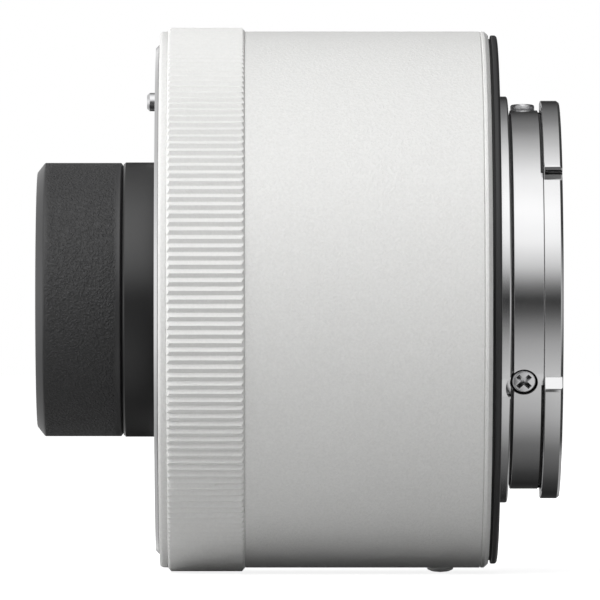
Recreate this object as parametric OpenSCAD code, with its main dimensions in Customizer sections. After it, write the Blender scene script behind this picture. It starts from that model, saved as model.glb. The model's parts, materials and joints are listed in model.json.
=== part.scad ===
// Camera teleconverter: a short lens that goes between a long lens and a camera.
// Millimetres. X runs along the optical axis, from the lens side to the camera side.
// The rear mount face lies in the plane X = 0, and +Z is up.
// Clock angles run round X from the top: 0 is +Z, 90 is -Y, 180 is -Z.

/* [Mount faces] */
// Distance between the front and rear mount faces
flange_to_flange = 38.4; // [38:0.1:42]
// Diameter of the front throat, which takes a lens
throat_d = 46.1; // [45.8:0.1:46.4]
// Radial clearance between a bayonet collar and a throat
mount_gap = 0.05; // [0.02:0.01:0.1]
// Clock angle of the lock pin
lock_clock = -29.6; // [-34:0.2:-26]

/* [Rear bayonet] */
// Length of the bayonet behind the rear mount face
bayonet_l = 7.14; // [6.9:0.02:7.4]
// Length of the collar that centres it in the camera
collar_l = 1.28; // [1.1:0.02:1.4]
// Diameter of the neck between the collar and the lugs
neck_d = 42.86; // [42.6:0.02:43]
// Wall of the neck
neck_wall = 1.43; // [1.2:0.01:1.6]
// Diameter over the lugs
lug_d = 45.02; // [44.4:0.02:45.4]
// Thickness of the lugs along the axis
lug_l = 2.12; // [1.9:0.02:2.3]
// Thickness of the rear flange
rear_flange_t = 1.5; // [1.3:0.1:1.8]
// Distance of the neck screws behind the rear mount face
neck_screw_x = 2.8; // [2.7:0.05:2.95]
// Diameter of the neck screw heads
neck_screw_d = 2.9; // [2.4:0.1:3.2]
// Width of the window in the rear light baffle
baffle_w = 26; // [22:0.5:27]
// Height of the window in the rear light baffle
baffle_h = 18; // [15:0.5:19]

/* [Front mount] */
// Thickness of the front mount plate
front_plate_t = 1.5; // [1.3:0.1:1.8]
// How far the plate stands in front of the white band
front_step = 0.46; // [0.3:0.02:0.6]
// Width of the white rim round the plate
front_rim = 1.45; // [1.3:0.05:1.6]
// Wall of the throat tube
throat_wall = 1.3; // [1.1:0.05:1.4]
// Depth of the throat tube behind the front mount face
throat_depth = 4.2; // [4:0.05:4.4]
// Diameter inside the three tabs
tab_d = 43.5; // [43.3:0.05:44.5]
// Thickness of the tabs along the axis
tab_t = 2.4; // [2:0.1:2.5]
// Diameter of the lock pin
lock_pin_d = 2.1; // [1.9:0.05:2.2]
// How far the lock pin stands out of the front mount face
lock_pin_out = 1.18; // [1:0.02:1.3]
// Travel of the lock pin and of the release knob
release_travel = 1.4; // [1.3:0.05:1.5]

/* [Shell] */
// Diameter of the white barrel
barrel_d = 60.7; // [60.4:0.1:62]
// Wall of the white barrel
barrel_wall = 1.65; // [1.5:0.05:1.8]
// Length of the plain band in front of the grip
front_band_l = 0.91; // [0.7:0.01:1.1]
// Length of the ribbed grip
grip_l = 8.68; // [8:0.02:9.4]
// How far the rib crests stand above the barrel
rib_rise = 0.42; // [0.36:0.02:0.5]
// Depth of the valleys between the ribs
rib_depth = 0.3; // [0.2:0.02:0.34]
// Number of ribs round the grip
rib_count = 200; // [160:10:240]
// Length of the bevelled ring at the rear edge
bezel_l = 0.86; // [0.7:0.02:1.1]
// Length of the rubber seal at the rear edge
seal_l = 0.91; // [0.7:0.01:1.1]
// How far the seal lies inside the barrel surface
seal_inset = 0.44; // [0.4:0.02:0.6]
// Diameter of the raised index mark
index_d = 2.95; // [2.5:0.05:3.4]
// Height of the raised index mark above the barrel
index_rise = 0.52; // [0.4:0.02:0.7]
// Distance of the index mark in front of the rear mount face
index_x = 6.25; // [5.6:0.05:8]
// Length of the release knob
knob_l = 7; // [6.5:0.1:7.6]
// Width of the release knob
knob_w = 7.2; // [6:0.1:8]
// Height of the release knob above the barrel
knob_rise = 1.3; // [1.1:0.05:1.8]
// Distance from the grip to the release knob
knob_gap = 2.35; // [2:0.05:3]

/* [Nose] */
// Length of the nose in front of the front mount face
nose_l = 13.41; // [13:0.05:14]
// Diameter of the nose
nose_d = 30.94; // [30.7:0.02:31.2]
// Length of the grained nose cap
nose_cap_l = 9.47; // [9.2:0.05:9.8]
// Width of the groove behind the nose cap
nose_groove = 0.28; // [0.2:0.02:0.4]
// Wall of the nose round the front glass
nose_wall = 2.07; // [1.9:0.01:2.3]

/* [Glass] */
// How much smaller the second and third glass groups are than the front group, in diameter
middle_glass_less = 0.8; // [0.6:0.1:1.4]
// How much larger the fourth glass group is than the front group, in diameter
fourth_glass_more = 0.4; // [0:0.1:0.8]
// How much larger the rear glass is than the front group, in diameter
rear_glass_more = 3; // [2.6:0.1:3.2]
// Radial clearance round each glass
glass_gap = 0.1; // [0.05:0.01:0.15]

/* [Contacts and board] */
// Diameter of the circle that the contacts lie on
contact_circle_d = 36.2; // [36.1:0.1:36.5]
// Number of contacts
contact_count = 10; // [8:1:11]
// Travel of the sprung contact pins
contact_travel = 0.7; // [0.5:0.05:0.9]
// Thickness of the control board
board_t = 1; // [0.8:0.1:1.4]

/* [Fits] */
// Clearance between pieces that are fixed to each other
fit_gap = 0.1; // [0.06:0.01:0.12]
// Clearance beside pieces that slide
slide_gap = 0.08; // [0.05:0.01:0.1]

/* [Hidden] */
$fn = 96;

// Places along the axis
front_face = -flange_to_flange;
band_front = front_face + front_step;
grip_front = band_front + front_band_l;
grip_rear = grip_front + grip_l;
seal_front = -seal_l;
seal_rear = 0.1;
bezel_front = seal_front - bezel_l;
bezel_spigot_l = 1.4;
plate_rear = front_face + front_plate_t;
throat_rear = front_face + throat_depth;
tab_rear = throat_rear - 0.2;
tab_front = tab_rear - tab_t;
leaf_t = 0.3;
leaf_front = throat_rear + 0.05;
leaf_seat = leaf_front + leaf_t + 0.05;
well_clear = 0.96;
liner_t = 0.65;
liner_front = front_face + bayonet_l + well_clear;
flange_front = liner_front + liner_t + 0.05;
flange_rear = flange_front + 1.5;
ledge_rear = flange_rear + 2;
board_front = ledge_rear + 5.1;
board_rear = board_front + board_t;
rear_ring_front = -rear_flange_t - 4.5;

// Radii of the shell and the frame
barrel_r = barrel_d / 2;
barrel_in_r = barrel_r - barrel_wall;
grip_r = barrel_r + rib_rise;
valley_r = grip_r - rib_depth;
sleeve_r = barrel_in_r + barrel_wall / 2;
grip_in_r = sleeve_r + fit_gap;
seal_r = barrel_r - seal_inset;
bezel_spigot_r = barrel_in_r + 0.6;
chassis_r = barrel_in_r - fit_gap;
cavity_r = chassis_r - 2.3;
seal_foot = 0.5;
rear_flange_r = barrel_in_r - seal_foot - 2 * fit_gap;
plate_r = barrel_r - front_rim - fit_gap;
index_sunk = 0.2;
index_stem_r = 0.6;

// Radii of the mounts
throat_r = throat_d / 2;
throat_out_r = throat_r + throat_wall;
tab_r = tab_d / 2;
collar_r = throat_r - mount_gap;
neck_r = neck_d / 2;
neck_in_r = neck_r - neck_wall;
lug_r = lug_d / 2;
lug_front = bayonet_l - lug_l;
lug_foot_r = neck_r - 0.3;
liner_in_r = throat_r + 0.1;
liner_r = liner_in_r + 0.65;
well_r = liner_r + fit_gap;
counterbore_r = throat_out_r + fit_gap;
flange_r = well_r - fit_gap;
rear_bore_r = collar_r + 1;

// Each lug and tab is given as [first clock angle, width], in degrees
lugs = [[-7, 55.7], [116.4, 67.6], [228, 64]];
tabs = [[4, 40], [138, 39], [248, 40]];
lug_ramp = 2.7;
lug_slot_w = 0.4;

// Turned groove in the neck beside the collar
relief_w = 0.34;
relief_depth = 0.2;
neck_screw_clocks = [-5, 115, 235];
mount_screw_clocks = [75, 165, 255, 345];
barrel_screw_clocks = [60, 140, 220, 300];
lens_index_clock = 131.4;
post_clocks = [30, 100, -100];

// Screws
front_screw_circle = (throat_out_r + plate_r) / 2;
rear_screw_circle = (rear_bore_r + rear_flange_r) / 2;
screw_head_r = 1.5;
screw_shaft_r = 0.7;
screw_head_h = 0.8;
head_rim = 0.15;
screw_gap = 0.12;
screw_sunk = 0.08;
thread_gap = 0.05;
mount_screw_l = 4.6;
tube_screw_head_r = 1.2;
tube_screw_head_h = 0.75;
tube_screw_r = 0.55;
tube_screw_l = 3;
tube_screw_sunk = 0.05;
post_r = 1.3;
board_screw_r = 0.6;
board_screw_head_r = 1.2;
board_screw_head_h = 0.8;
board_screw_l = 3.4;
neck_seat_r = neck_r - 0.13;
neck_spot_r = 1.9;
neck_head_h = 0.85;
neck_screw_r = 0.68;
neck_screw_tip = 3.5;

// Lock pin, slide and spring
lock_r = lock_pin_d / 2;
lock_circle = throat_out_r + 0.6 + lock_r;
lock_collar_r = lock_r + 0.2;
lock_stem_r = 0.6;
pocket_front = plate_rear + 2.3;
pocket_rear = flange_rear - 0.2;
pocket_floor = lock_circle - lock_collar_r - 0.2;
lock_collar_front = pocket_front + 0.05;
lock_collar_rear = lock_collar_front + 0.65;
fork_front = pocket_front + 2;
fork_rear = fork_front + 0.8;
clip_front = fork_rear + 0.05;
clip_rear = clip_front + 0.5;
lock_stem_end = ledge_rear - 0.5;
wire_r = 0.14;
spring_r = lock_stem_r + 0.4;
spring_front = clip_rear + 0.05 + wire_r;
spring_rear = pocket_rear - 0.05 - wire_r;
spring_turns = 3.5;
channel_floor = chassis_r - 1.2;
slide_low = channel_floor + 0.06;
slide_high = slide_low + 0.94;
slide_w = 4.4;
knob_front = grip_rear + knob_gap;
knob_rear = knob_front + knob_l;
knob_stem_front = knob_front + 1.5;
knob_stem_rear = knob_rear - 1.5;
knob_stem_w = 3.2;
slide_rear = knob_rear - 0.4;
knob_screw_r = 0.44;
knob_screw_inset = 0.9;
knob_screw_places = [knob_stem_front + knob_screw_inset, knob_stem_rear - knob_screw_inset];

// Contacts
contact_r = contact_circle_d / 2;
pad_x = bayonet_l - 0.24;
block_front = front_face + pad_x + 0.4;
contact_tip = front_face + pad_x + 0.1 - contact_travel;
block_rear = flange_rear + 0.4;
contact_collar_front = block_front + 0.53;
contact_collar_rear = contact_collar_front + 0.37;
contact_pin_r = 0.42;
contact_collar_r = 0.62;
contact_step = 5.8;
block_half_h = 1.5;
block_back_half_h = 1.2;
rear_insert_front = 1.6;
rear_pad_t = 0.2;
block_half = (contact_count - 1) * contact_step / 2 + 6.9;
window_half = block_half - 2.8;
ledge_r = contact_r + 2.2;
barrel_screw_circle = (ledge_r + flange_r) / 2;

// Radii of the glass surfaces, named by lens and side
curve_1 = 60;
curve_1_2 = 32;
curve_2 = 45;
curve_3_front = 38;
curve_3_rear = 45;
curve_4 = 28;
curve_4_5 = 26;
curve_5_6 = 34;
curve_6 = 70;
curve_7_front = 30;
curve_7_rear = 60;
curve_8_front = 55;
curve_8_rear = 48;

// Nose and glass, placed one behind the other from the front
nose_r = nose_d / 2;
nose_collar_r = nose_r + 0.06;
nose_front = front_face - nose_l;
cap_rear = nose_front + nose_cap_l;
tube_front = cap_rear + nose_groove;
land = 0.3;
cement = 0.03;
front_bore = nose_r - nose_wall;
front_glass_r = front_bore - glass_gap;
middle_glass_r = front_glass_r - middle_glass_less / 2;
fourth_glass_r = front_glass_r + fourth_glass_more / 2;
rear_glass_r = front_glass_r + rear_glass_more / 2;
middle_bore = middle_glass_r + glass_gap;
fourth_bore = fourth_glass_r + glass_gap;
rear_bore = rear_glass_r + glass_gap;
tube_r = rear_bore + 1.5;
spigot_r = (nose_r + front_bore) / 2;
g1_front = nose_front + 1.5;
g1_middle = g1_front + 1.8;
g1_rear = g1_middle + cement + sag(curve_1_2, front_glass_r) + 0.9
  + sag(curve_2, front_glass_r);
lip_front_r = front_glass_r - 0.7;
g1_seat = g1_front + sag(curve_1, lip_front_r) - 0.04;
g1_ring_r = front_glass_r - 1;
g1_ring_front = g1_rear - sag(curve_2, g1_ring_r) + 0.04;
tube_floor = tube_front + 2.56;
clamp_ring_t = 1.05;
clamp_ring_r = middle_glass_r - 0.7;
g2_front = tube_floor + 0.04 + sag(curve_3_front, middle_glass_r - land);
g2_rear = g2_front + 1.4;
g2_rim = g2_rear + sag(curve_3_rear, middle_glass_r - land);
spacer_r = middle_glass_r - 0.9;
g3_front = g2_rim + 2.7;
g3_second = g3_front + sag(curve_4, middle_glass_r) + 0.8 + sag(curve_4_5, middle_glass_r);
g3_third = g3_second + cement + 1.5;
g3_rear = g3_third + cement + sag(curve_5_6, middle_glass_r) + 0.8
  + sag(curve_6, middle_glass_r);
lip_r = middle_glass_r - 1.3;
lip_front = g3_rear - sag(curve_6, lip_r) + 0.05;
lip_rear = lip_front + 1.7;
g4_front = lip_rear + 0.05 + sag(curve_7_front, fourth_glass_r - land);
g4_rear = g4_front + 1.6;
g5_front = g4_rear + 1.1;
g5_rear = g5_front + sag(curve_8_front, rear_glass_r) + 0.93 + sag(curve_8_rear, rear_glass_r);
rear_spacer_r = fourth_glass_r - 1.1;
rear_step = g5_front + sag(curve_8_front, fourth_bore) - 0.05;
rear_ring_r = rear_glass_r - 1.4;
rear_ring_x = g5_rear - sag(curve_8_rear, rear_ring_r) + 0.04;
tube_rear = rear_ring_x + 1.25 + 2.2;

// Depth of a sphere of radius R over a circle of radius r
function sag(R, r) = R - sqrt(R * R - r * r);

// Point at a radius and a clock angle, for outlines that along_x turns
function polar(r, a) = [r * cos(a), r * sin(a)];

// Clock angle of contact i
function contact_clock(i) = (i - (contact_count - 1) / 2) * contact_step;

// Turns local Z to +X, with the local polar angle becoming the clock angle
module along_x() {
  rotate([0, 90, 0])
    rotate([0, 0, 180])
      children();
}

// Moves a piece made round the axis to a clock angle and radius
module at_clock(a, r = 0) {
  rotate([a, 0, 0])
    translate([0, 0, r])
      children();
}

// Solid rod along X
module rod(x0, x1, r) {
  along_x()
    translate([0, 0, x0])
      cylinder(r = r, h = x1 - x0);
}

// Turned piece, from outline points given as [radius, x]
module turned(outline) {
  along_x()
    rotate_extrude()
      polygon(outline);
}

// Plain ring
module ring(x0, x1, r_out, r_in) {
  turned([[r_in, x0], [r_out, x0], [r_out, x1], [r_in, x1]]);
}

// Part of a turned piece, from clock angle a0 over a width w
module turned_part(outline, a0, w) {
  along_x()
    rotate([0, 0, a0])
      rotate_extrude(angle = w)
        polygon(outline);
}

// Part of a plain ring
module ring_part(x0, x1, r_out, r_in, a0, w) {
  turned_part([[r_in, x0], [r_out, x0], [r_out, x1], [r_in, x1]], a0, w);
}

// Cross recess in a screw head whose top lies at z = 0
module cross_recess(length, width, depth) {
  translate([-length / 2, -width / 2, -depth])
    cube([length, width, depth + 1]);
  translate([-width / 2, -length / 2, -depth])
    cube([width, length, depth + 1]);
}

// Flat head screw along X. Its head lies at x, its tip points to side (1 or -1).
module flat_screw(x, side, head_r, head_h, shaft_r, length) {
  translate([x, 0, 0])
    rotate([0, side > 0 ? -90 : 90, 0])
      difference() {
        union() {
          translate([0, 0, -head_rim])
            cylinder(r = head_r, h = head_rim);
          translate([0, 0, -head_h])
            cylinder(r1 = shaft_r, r2 = head_r, h = head_h - head_rim);
          translate([0, 0, -length])
            cylinder(r = shaft_r, h = length - head_h + 0.1);
        }
        cross_recess(head_r * 1.25, head_r * 0.26, head_h * 0.55);
      }
}

// Countersunk hole for flat_screw, with clearance gap
module flat_screw_hole(x, side, head_r, head_h, shaft_r, length, gap) {
  translate([x, 0, 0])
    rotate([0, side > 0 ? -90 : 90, 0]) {
      translate([0, 0, -head_rim - gap])
        cylinder(r = head_r + gap, h = head_rim + 1 + gap);
      translate([0, 0, -head_h - gap])
        cylinder(r1 = shaft_r + gap, r2 = head_r + gap, h = head_h - head_rim);
      translate([0, 0, -length])
        cylinder(r = shaft_r + gap, h = length);
    }
}

// Glass with its front vertex at x0 and rear vertex at x1.
// A radius is positive when the centre of the sphere lies behind the surface.
module glass(x0, x1, front, rear, r) {
  $fn = 360;
  start = front > 0 ? x0 - 1 : x0 - sag(-front, r - land);
  end = rear < 0 ? x1 + 1 : x1 + sag(rear, r - land);
  difference() {
    intersection() {
      rod(start, end, r);
      surface_side(x0, front, 1, r);
      surface_side(x1, rear, -1, r);
    }
    if (front < 0)
      translate([x0 + front, 0, 0])
        rotate([0, 0, 180])
          sphere(r = -front);
    if (rear > 0)
      translate([x1 + rear, 0, 0])
        sphere(r = rear);
  }
}

// What a rounded surface leaves: a sphere for a bulging one, else everything near it
module surface_side(x, radius, side, r) {
  if (side * radius > 0)
    translate([x + radius, 0, 0])
      rotate([0, 0, side > 0 ? 0 : 180])
        sphere(r = side * radius);
  else
    translate([x, 0, 0])
      cube(8 * r, center = true);
}

// Threaded ring with two key slots in its rear face
module lens_ring(x0, x1, r_out, r_in) {
  difference() {
    ring(x0, x1, r_out, r_in);
    for (a = [0, 180])
      at_clock(a, r_in)
        translate([x1 - 0.5, -0.5, -1])
          cube([1, 1, r_out - r_in + 2]);
  }
}

// Ribbon of width w in the XZ plane, from points given as [x, z]
module ribbon(points, t, w) {
  n = len(points);
  back = [for (i = [n - 1:-1:0]) [points[i][0], points[i][1] + t]];
  rotate([90, 0, 0])
    linear_extrude(height = w, center = true)
      polygon(concat(points, back));
}

module main_barrel() {
  rabbet_r = bezel_spigot_r + fit_gap;
  rabbet_x = bezel_front - bezel_spigot_l - fit_gap;
  color("WhiteSmoke")
    difference() {
      turned([
        [barrel_in_r, grip_rear],
        [barrel_r - 0.1, grip_rear],
        [barrel_r, grip_rear + 0.1],
        [barrel_r, bezel_front - 0.08],
        [barrel_r - 0.08, bezel_front],
        [rabbet_r, bezel_front],
        [rabbet_r, rabbet_x],
        [barrel_in_r, rabbet_x]
      ]);
      // Slot that the release knob slides in
      at_clock(lock_clock)
        translate([knob_stem_front - 0.1, -knob_stem_w / 2 - slide_gap, chassis_r - 2])
          cube([knob_stem_rear - knob_stem_front + release_travel + 0.2,
                knob_stem_w + 2 * slide_gap, 6]);
      // Seat and hole of the index mark
      at_clock(180)
        translate([-index_x, 0, 0]) {
          translate([0, 0, barrel_r - index_sunk])
            cylinder(d = index_d + fit_gap, h = 2);
          translate([0, 0, barrel_in_r - 1])
            cylinder(r = index_stem_r + fit_gap / 2, h = barrel_wall + 2);
        }
    }
}

module grip_ring() {
  $fn = 360;
  bevel = 0.38;
  filled_share = 0.62;
  step = 360 / rib_count;
  low = min(valley_r, barrel_r) + 0.02;
  // A groove beside the lens mounting index is filled for most of its length
  filled = (ceil(lens_index_clock / step) + 0.5) * step;
  star = [for (i = [0:rib_count - 1], k = [0, 1])
    let (r = k == 0 ? grip_r : valley_r, a = (i + k / 2) * step)
      [r * cos(a), r * sin(a)]];
  color("White")
    intersection() {
      union() {
        along_x()
          translate([0, 0, grip_front])
            linear_extrude(height = grip_l)
              polygon(star);
        ring_part(grip_front, grip_front + filled_share * grip_l, grip_r - 0.06, grip_in_r + 0.2,
                  filled - 0.42 * step, 0.84 * step);
      }
      turned([
        [grip_in_r, grip_front],
        [low, grip_front],
        [grip_r + 0.03, grip_front + bevel],
        [grip_r + 0.03, grip_rear - bevel],
        [low, grip_rear],
        [grip_in_r, grip_rear]
      ]);
    }
}

module front_cover() {
  sleeve_rear = grip_rear - 0.25;
  color("WhiteSmoke")
    turned([
      [plate_r + fit_gap, band_front],
      [barrel_r - 0.24, band_front],
      [barrel_r - 0.05, band_front + 0.14],
      [barrel_r, band_front + 0.41],
      [barrel_r, grip_front],
      [sleeve_r, grip_front],
      [sleeve_r, sleeve_rear],
      [barrel_in_r, sleeve_rear],
      [barrel_in_r, plate_rear + 0.05],
      [plate_r + fit_gap, plate_rear + 0.05]
    ]);
}

module rear_bezel() {
  color("WhiteSmoke")
    turned([
      [barrel_in_r, bezel_front - bezel_spigot_l],
      [bezel_spigot_r, bezel_front - bezel_spigot_l],
      [bezel_spigot_r, bezel_front],
      [barrel_r - 0.08, bezel_front],
      [barrel_r, bezel_front + 0.08],
      [barrel_r, seal_front - 0.45],
      [barrel_r - 0.4, seal_front],
      [barrel_in_r, seal_front]
    ]);
}

module rear_seal() {
  round_r = 0.3;
  corner = [for (i = [0:6])
    [seal_r - round_r + round_r * cos(15 * i), seal_rear - round_r + round_r * sin(15 * i)]];
  color("DimGray")
    turned(concat(
      [
        [rear_flange_r + fit_gap, 0.05 - rear_flange_t],
        [barrel_in_r - fit_gap, 0.05 - rear_flange_t],
        [barrel_in_r - fit_gap, seal_front],
        [seal_r, seal_front]
      ],
      corner,
      [[rear_flange_r + fit_gap, seal_rear]]
    ));
}

module index_mark() {
  head = index_d / 2;
  dome = 0.34;
  dome_r = (head * head + dome * dome) / (2 * dome);
  top = barrel_r + index_rise;
  color("White")
    at_clock(180)
      translate([-index_x, 0, 0]) {
        intersection() {
          translate([0, 0, barrel_r - index_sunk])
            cylinder(r = head, h = 2);
          translate([0, 0, top - dome_r])
            sphere(r = dome_r);
        }
        translate([0, 0, barrel_in_r + 0.1])
          cylinder(r = index_stem_r, h = barrel_wall - index_sunk);
      }
}

module chassis() {
  color("DarkSlateGray")
    difference() {
      union() {
        turned([
          [counterbore_r, plate_rear],
          [chassis_r, plate_rear],
          [chassis_r, -rear_flange_t],
          [rear_bore_r, -rear_flange_t],
          [rear_bore_r, rear_ring_front],
          [cavity_r, rear_ring_front],
          [cavity_r, ledge_rear],
          [ledge_r, ledge_rear],
          [ledge_r, flange_rear],
          [well_r, flange_rear],
          [well_r, leaf_seat],
          [counterbore_r, leaf_seat]
        ]);
        // Posts that carry the control board
        for (a = post_clocks)
          at_clock(a, barrel_screw_circle)
            rod(ledge_rear - 0.5, board_front, post_r);
      }
      for (a = post_clocks)
        at_clock(a, barrel_screw_circle)
          rod(board_rear - board_screw_l - 0.2, board_front + 1, board_screw_r + thread_gap);
      for (a = mount_screw_clocks) {
        at_clock(a, front_screw_circle)
          rod(plate_rear - 1, front_face + mount_screw_l + 0.3, screw_shaft_r + thread_gap);
        at_clock(a, rear_screw_circle)
          rod(-mount_screw_l - 0.3, 1, screw_shaft_r + thread_gap);
      }
      for (a = barrel_screw_clocks)
        at_clock(a, barrel_screw_circle)
          rod(flange_rear - 1, flange_front + tube_screw_l + 0.2, tube_screw_r + thread_gap);
      at_clock(lock_clock) {
        // Bores and pocket of the lock pin
        translate([0, 0, lock_circle]) {
          rod(plate_rear - 1, pocket_front + 1, lock_r + slide_gap);
          rod(pocket_rear - 1, ledge_rear + 1, lock_stem_r + slide_gap);
        }
        translate([pocket_front, -1.7, pocket_floor])
          cube([pocket_rear - pocket_front, 3.4, 10]);
        // Channel of the release slide
        translate([fork_front - 1.2, -slide_w / 2 - slide_gap, channel_floor])
          cube([slide_rear - fork_front + release_travel + 1.5, slide_w + 2 * slide_gap, 10]);
      }
    }
}

module front_mount() {
  color("Silver")
    difference() {
      union() {
        turned([
          [throat_r + 0.2, front_face],
          [plate_r - 0.12, front_face],
          [plate_r, front_face + 0.12],
          [plate_r, plate_rear],
          [throat_out_r, plate_rear],
          [throat_out_r, throat_rear],
          [throat_r, throat_rear],
          [throat_r, front_face + 0.2]
        ]);
        for (t = tabs)
          turned_part([
            [tab_r + 0.2, tab_front],
            [throat_r + 0.4, tab_front],
            [throat_r + 0.4, tab_rear],
            [tab_r, tab_rear],
            [tab_r, tab_front + 0.2]
          ], t[0], t[1]);
      }
      for (a = mount_screw_clocks)
        at_clock(a, front_screw_circle)
          flat_screw_hole(front_face, 1, screw_head_r, screw_head_h, screw_shaft_r,
                          mount_screw_l, screw_gap);
      at_clock(lock_clock, lock_circle)
        rod(front_face - 1, plate_rear + 1, lock_r + slide_gap);
    }
}

module front_mount_screws() {
  color("LightGray")
    for (a = mount_screw_clocks)
      at_clock(a, front_screw_circle)
        flat_screw(front_face + screw_sunk, 1, screw_head_r, screw_head_h, screw_shaft_r,
                   mount_screw_l);
}

module bayonet_spring() {
  color("Goldenrod") {
    ring(leaf_front, leaf_front + leaf_t, throat_out_r, throat_r + 0.35);
    for (t = tabs)
      ring_part(leaf_front, leaf_front + leaf_t, throat_r + 0.5, tab_r + 0.15,
                t[0] + 5, t[1] - 10);
  }
}

module front_liner() {
  color("DimGray")
    difference() {
      turned([
        [nose_collar_r + 0.15, liner_front],
        [liner_in_r, liner_front],
        [liner_in_r, leaf_seat + 0.1],
        [liner_r, leaf_seat + 0.1],
        [liner_r, liner_front + liner_t],
        [nose_collar_r + 0.15, liner_front + liner_t]
      ]);
      ring_part(liner_front - 1, liner_front + liner_t + 1, contact_r + block_half_h + fit_gap,
                contact_r - block_half_h - fit_gap, -block_half - 0.6, 2 * block_half + 1.2);
    }
}

module lock_pin() {
  tip = front_face - lock_pin_out;
  color("Silver")
    at_clock(lock_clock, lock_circle)
      turned([
        [0, tip],
        [lock_r - 0.2, tip],
        [lock_r, tip + 0.2],
        [lock_r, lock_collar_front],
        [lock_collar_r, lock_collar_front],
        [lock_collar_r, lock_collar_rear],
        [lock_stem_r, lock_collar_rear],
        [lock_stem_r, lock_stem_end],
        [0, lock_stem_end]
      ]);
}

module lock_pin_clip() {
  color("DimGray")
    at_clock(lock_clock, lock_circle)
      ring_part(clip_front, clip_rear, lock_collar_r, lock_stem_r + 0.02, 40, 280);
}

// Centre line of the lock pin spring, eight points a turn
spring_points = [for (i = [0:spring_turns * 8])
  let (a = i * 45)
    [spring_front + (spring_rear - spring_front) * i / (spring_turns * 8),
     spring_r * cos(a), spring_r * sin(a)]];

// Least gap between turns, measured on points that are at least half a turn apart
spring_gap = min([for (i = [0:len(spring_points) - 1], j = [0:len(spring_points) - 1])
  if (j - i > 4) norm(spring_points[j] - spring_points[i])]) - 2 * wire_r;
echo(lock_pin_spring_gap = spring_gap);

module lock_pin_spring() {
  n = len(spring_points);
  sides = 6;
  rings = [for (i = [0:n - 1], k = [0:sides - 1])
    let (a = i * 45, b = k * 360 / sides, q = spring_r + wire_r * cos(b))
      [spring_points[i][0] + wire_r * sin(b), q * cos(a), q * sin(a)]];
  walls = [for (i = [0:n - 2], k = [0:sides - 1])
    let (k2 = (k + 1) % sides)
      [i * sides + k, i * sides + k2, (i + 1) * sides + k2, (i + 1) * sides + k]];
  first = [for (k = [sides - 1:-1:0]) k];
  last = [for (k = [0:sides - 1]) (n - 1) * sides + k];
  color("Gray")
    at_clock(lock_clock, lock_circle)
      polyhedron(points = rings, faces = concat(walls, [first], [last]));
}

module release_slide() {
  color("Gray")
    at_clock(lock_clock)
      difference() {
        union() {
          translate([fork_front, -slide_w / 2, slide_low])
            cube([slide_rear - fork_front, slide_w, slide_high - slide_low]);
          translate([fork_front, -1.5, lock_circle - 1.05])
            cube([fork_rear - fork_front, 3, slide_high - lock_circle + 1]);
        }
        // Fork opening round the stem of the lock pin
        translate([fork_front - 1, -lock_stem_r - 0.15, lock_circle - 3])
          cube([fork_rear - fork_front + 2, 2 * lock_stem_r + 0.3, 3.75]);
        for (x = knob_screw_places)
          translate([x, 0, 0]) {
            translate([0, 0, slide_low - 0.02])
              cylinder(r1 = 1, r2 = knob_screw_r + 0.06, h = 0.5);
            translate([0, 0, slide_low - 1])
              cylinder(r = knob_screw_r + 0.06, h = 4);
          }
      }
}

module release_knob() {
  top_r = barrel_r + knob_rise;
  seat_r = barrel_r + slide_gap;
  color("Gainsboro")
    at_clock(lock_clock)
      difference() {
        union() {
          difference() {
            intersection() {
              translate([knob_front, -knob_w / 2, barrel_r - 2])
                cube([knob_l, knob_w, knob_rise + 4]);
              rod(knob_front - 1, knob_rear + 1, top_r);
            }
            rod(knob_front - 2, knob_rear + 2, seat_r);
            // Grip grooves across the top
            for (i = [0:3])
              translate([knob_front + knob_l * (0.23 + 0.18 * i) - 0.3, -knob_w, top_r - 0.4])
                cube([0.6, 2 * knob_w, 2]);
          }
          translate([knob_stem_front, -knob_stem_w / 2, slide_high])
            cube([knob_stem_rear - knob_stem_front, knob_stem_w, seat_r + 0.3 - slide_high]);
        }
        for (x = knob_screw_places)
          translate([x, 0, slide_high - 1])
            cylinder(r = knob_screw_r + 0.06, h = 2.7);
      }
}

module release_knob_screws() {
  color("LightGray")
    at_clock(lock_clock)
      for (x = knob_screw_places)
        translate([x, 0, slide_low + 0.03])
          difference() {
            union() {
              cylinder(r1 = 0.9, r2 = knob_screw_r, h = 0.46);
              cylinder(r = knob_screw_r, h = 2.4);
            }
            translate([-0.6, -0.1, -1])
              cube([1.2, 0.2, 1.2]);
          }
}

module front_contact_block() {
  color("DimGray")
    difference() {
      union() {
        ring_part(block_front, flange_front - 0.05, contact_r + block_half_h,
                  contact_r - block_half_h, -block_half, 2 * block_half);
        ring_part(flange_front - 0.3, block_rear, contact_r + block_back_half_h,
                  contact_r - block_back_half_h, -window_half, 2 * window_half);
      }
      for (i = [0:contact_count - 1])
        at_clock(contact_clock(i), contact_r) {
          rod(block_front - 1, contact_collar_front, contact_pin_r + slide_gap);
          rod(contact_collar_front - 0.03, block_rear - 0.2, contact_collar_r + slide_gap);
        }
    }
}

module front_contact_pins() {
  color("Gold")
    for (i = [0:contact_count - 1])
      at_clock(contact_clock(i), contact_r)
        turned([
          [0, contact_tip],
          [contact_pin_r - 0.2, contact_tip],
          [contact_pin_r, contact_tip + 0.2],
          [contact_pin_r, contact_collar_front],
          [contact_collar_r, contact_collar_front],
          [contact_collar_r, contact_collar_rear],
          [0, contact_collar_rear]
        ]);
}

module contact_springs() {
  color("Gray")
    for (i = [0:contact_count - 1])
      at_clock(contact_clock(i), contact_r)
        ring(contact_collar_rear + 0.05, block_rear - 0.25, contact_collar_r, 0.4);
}

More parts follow.
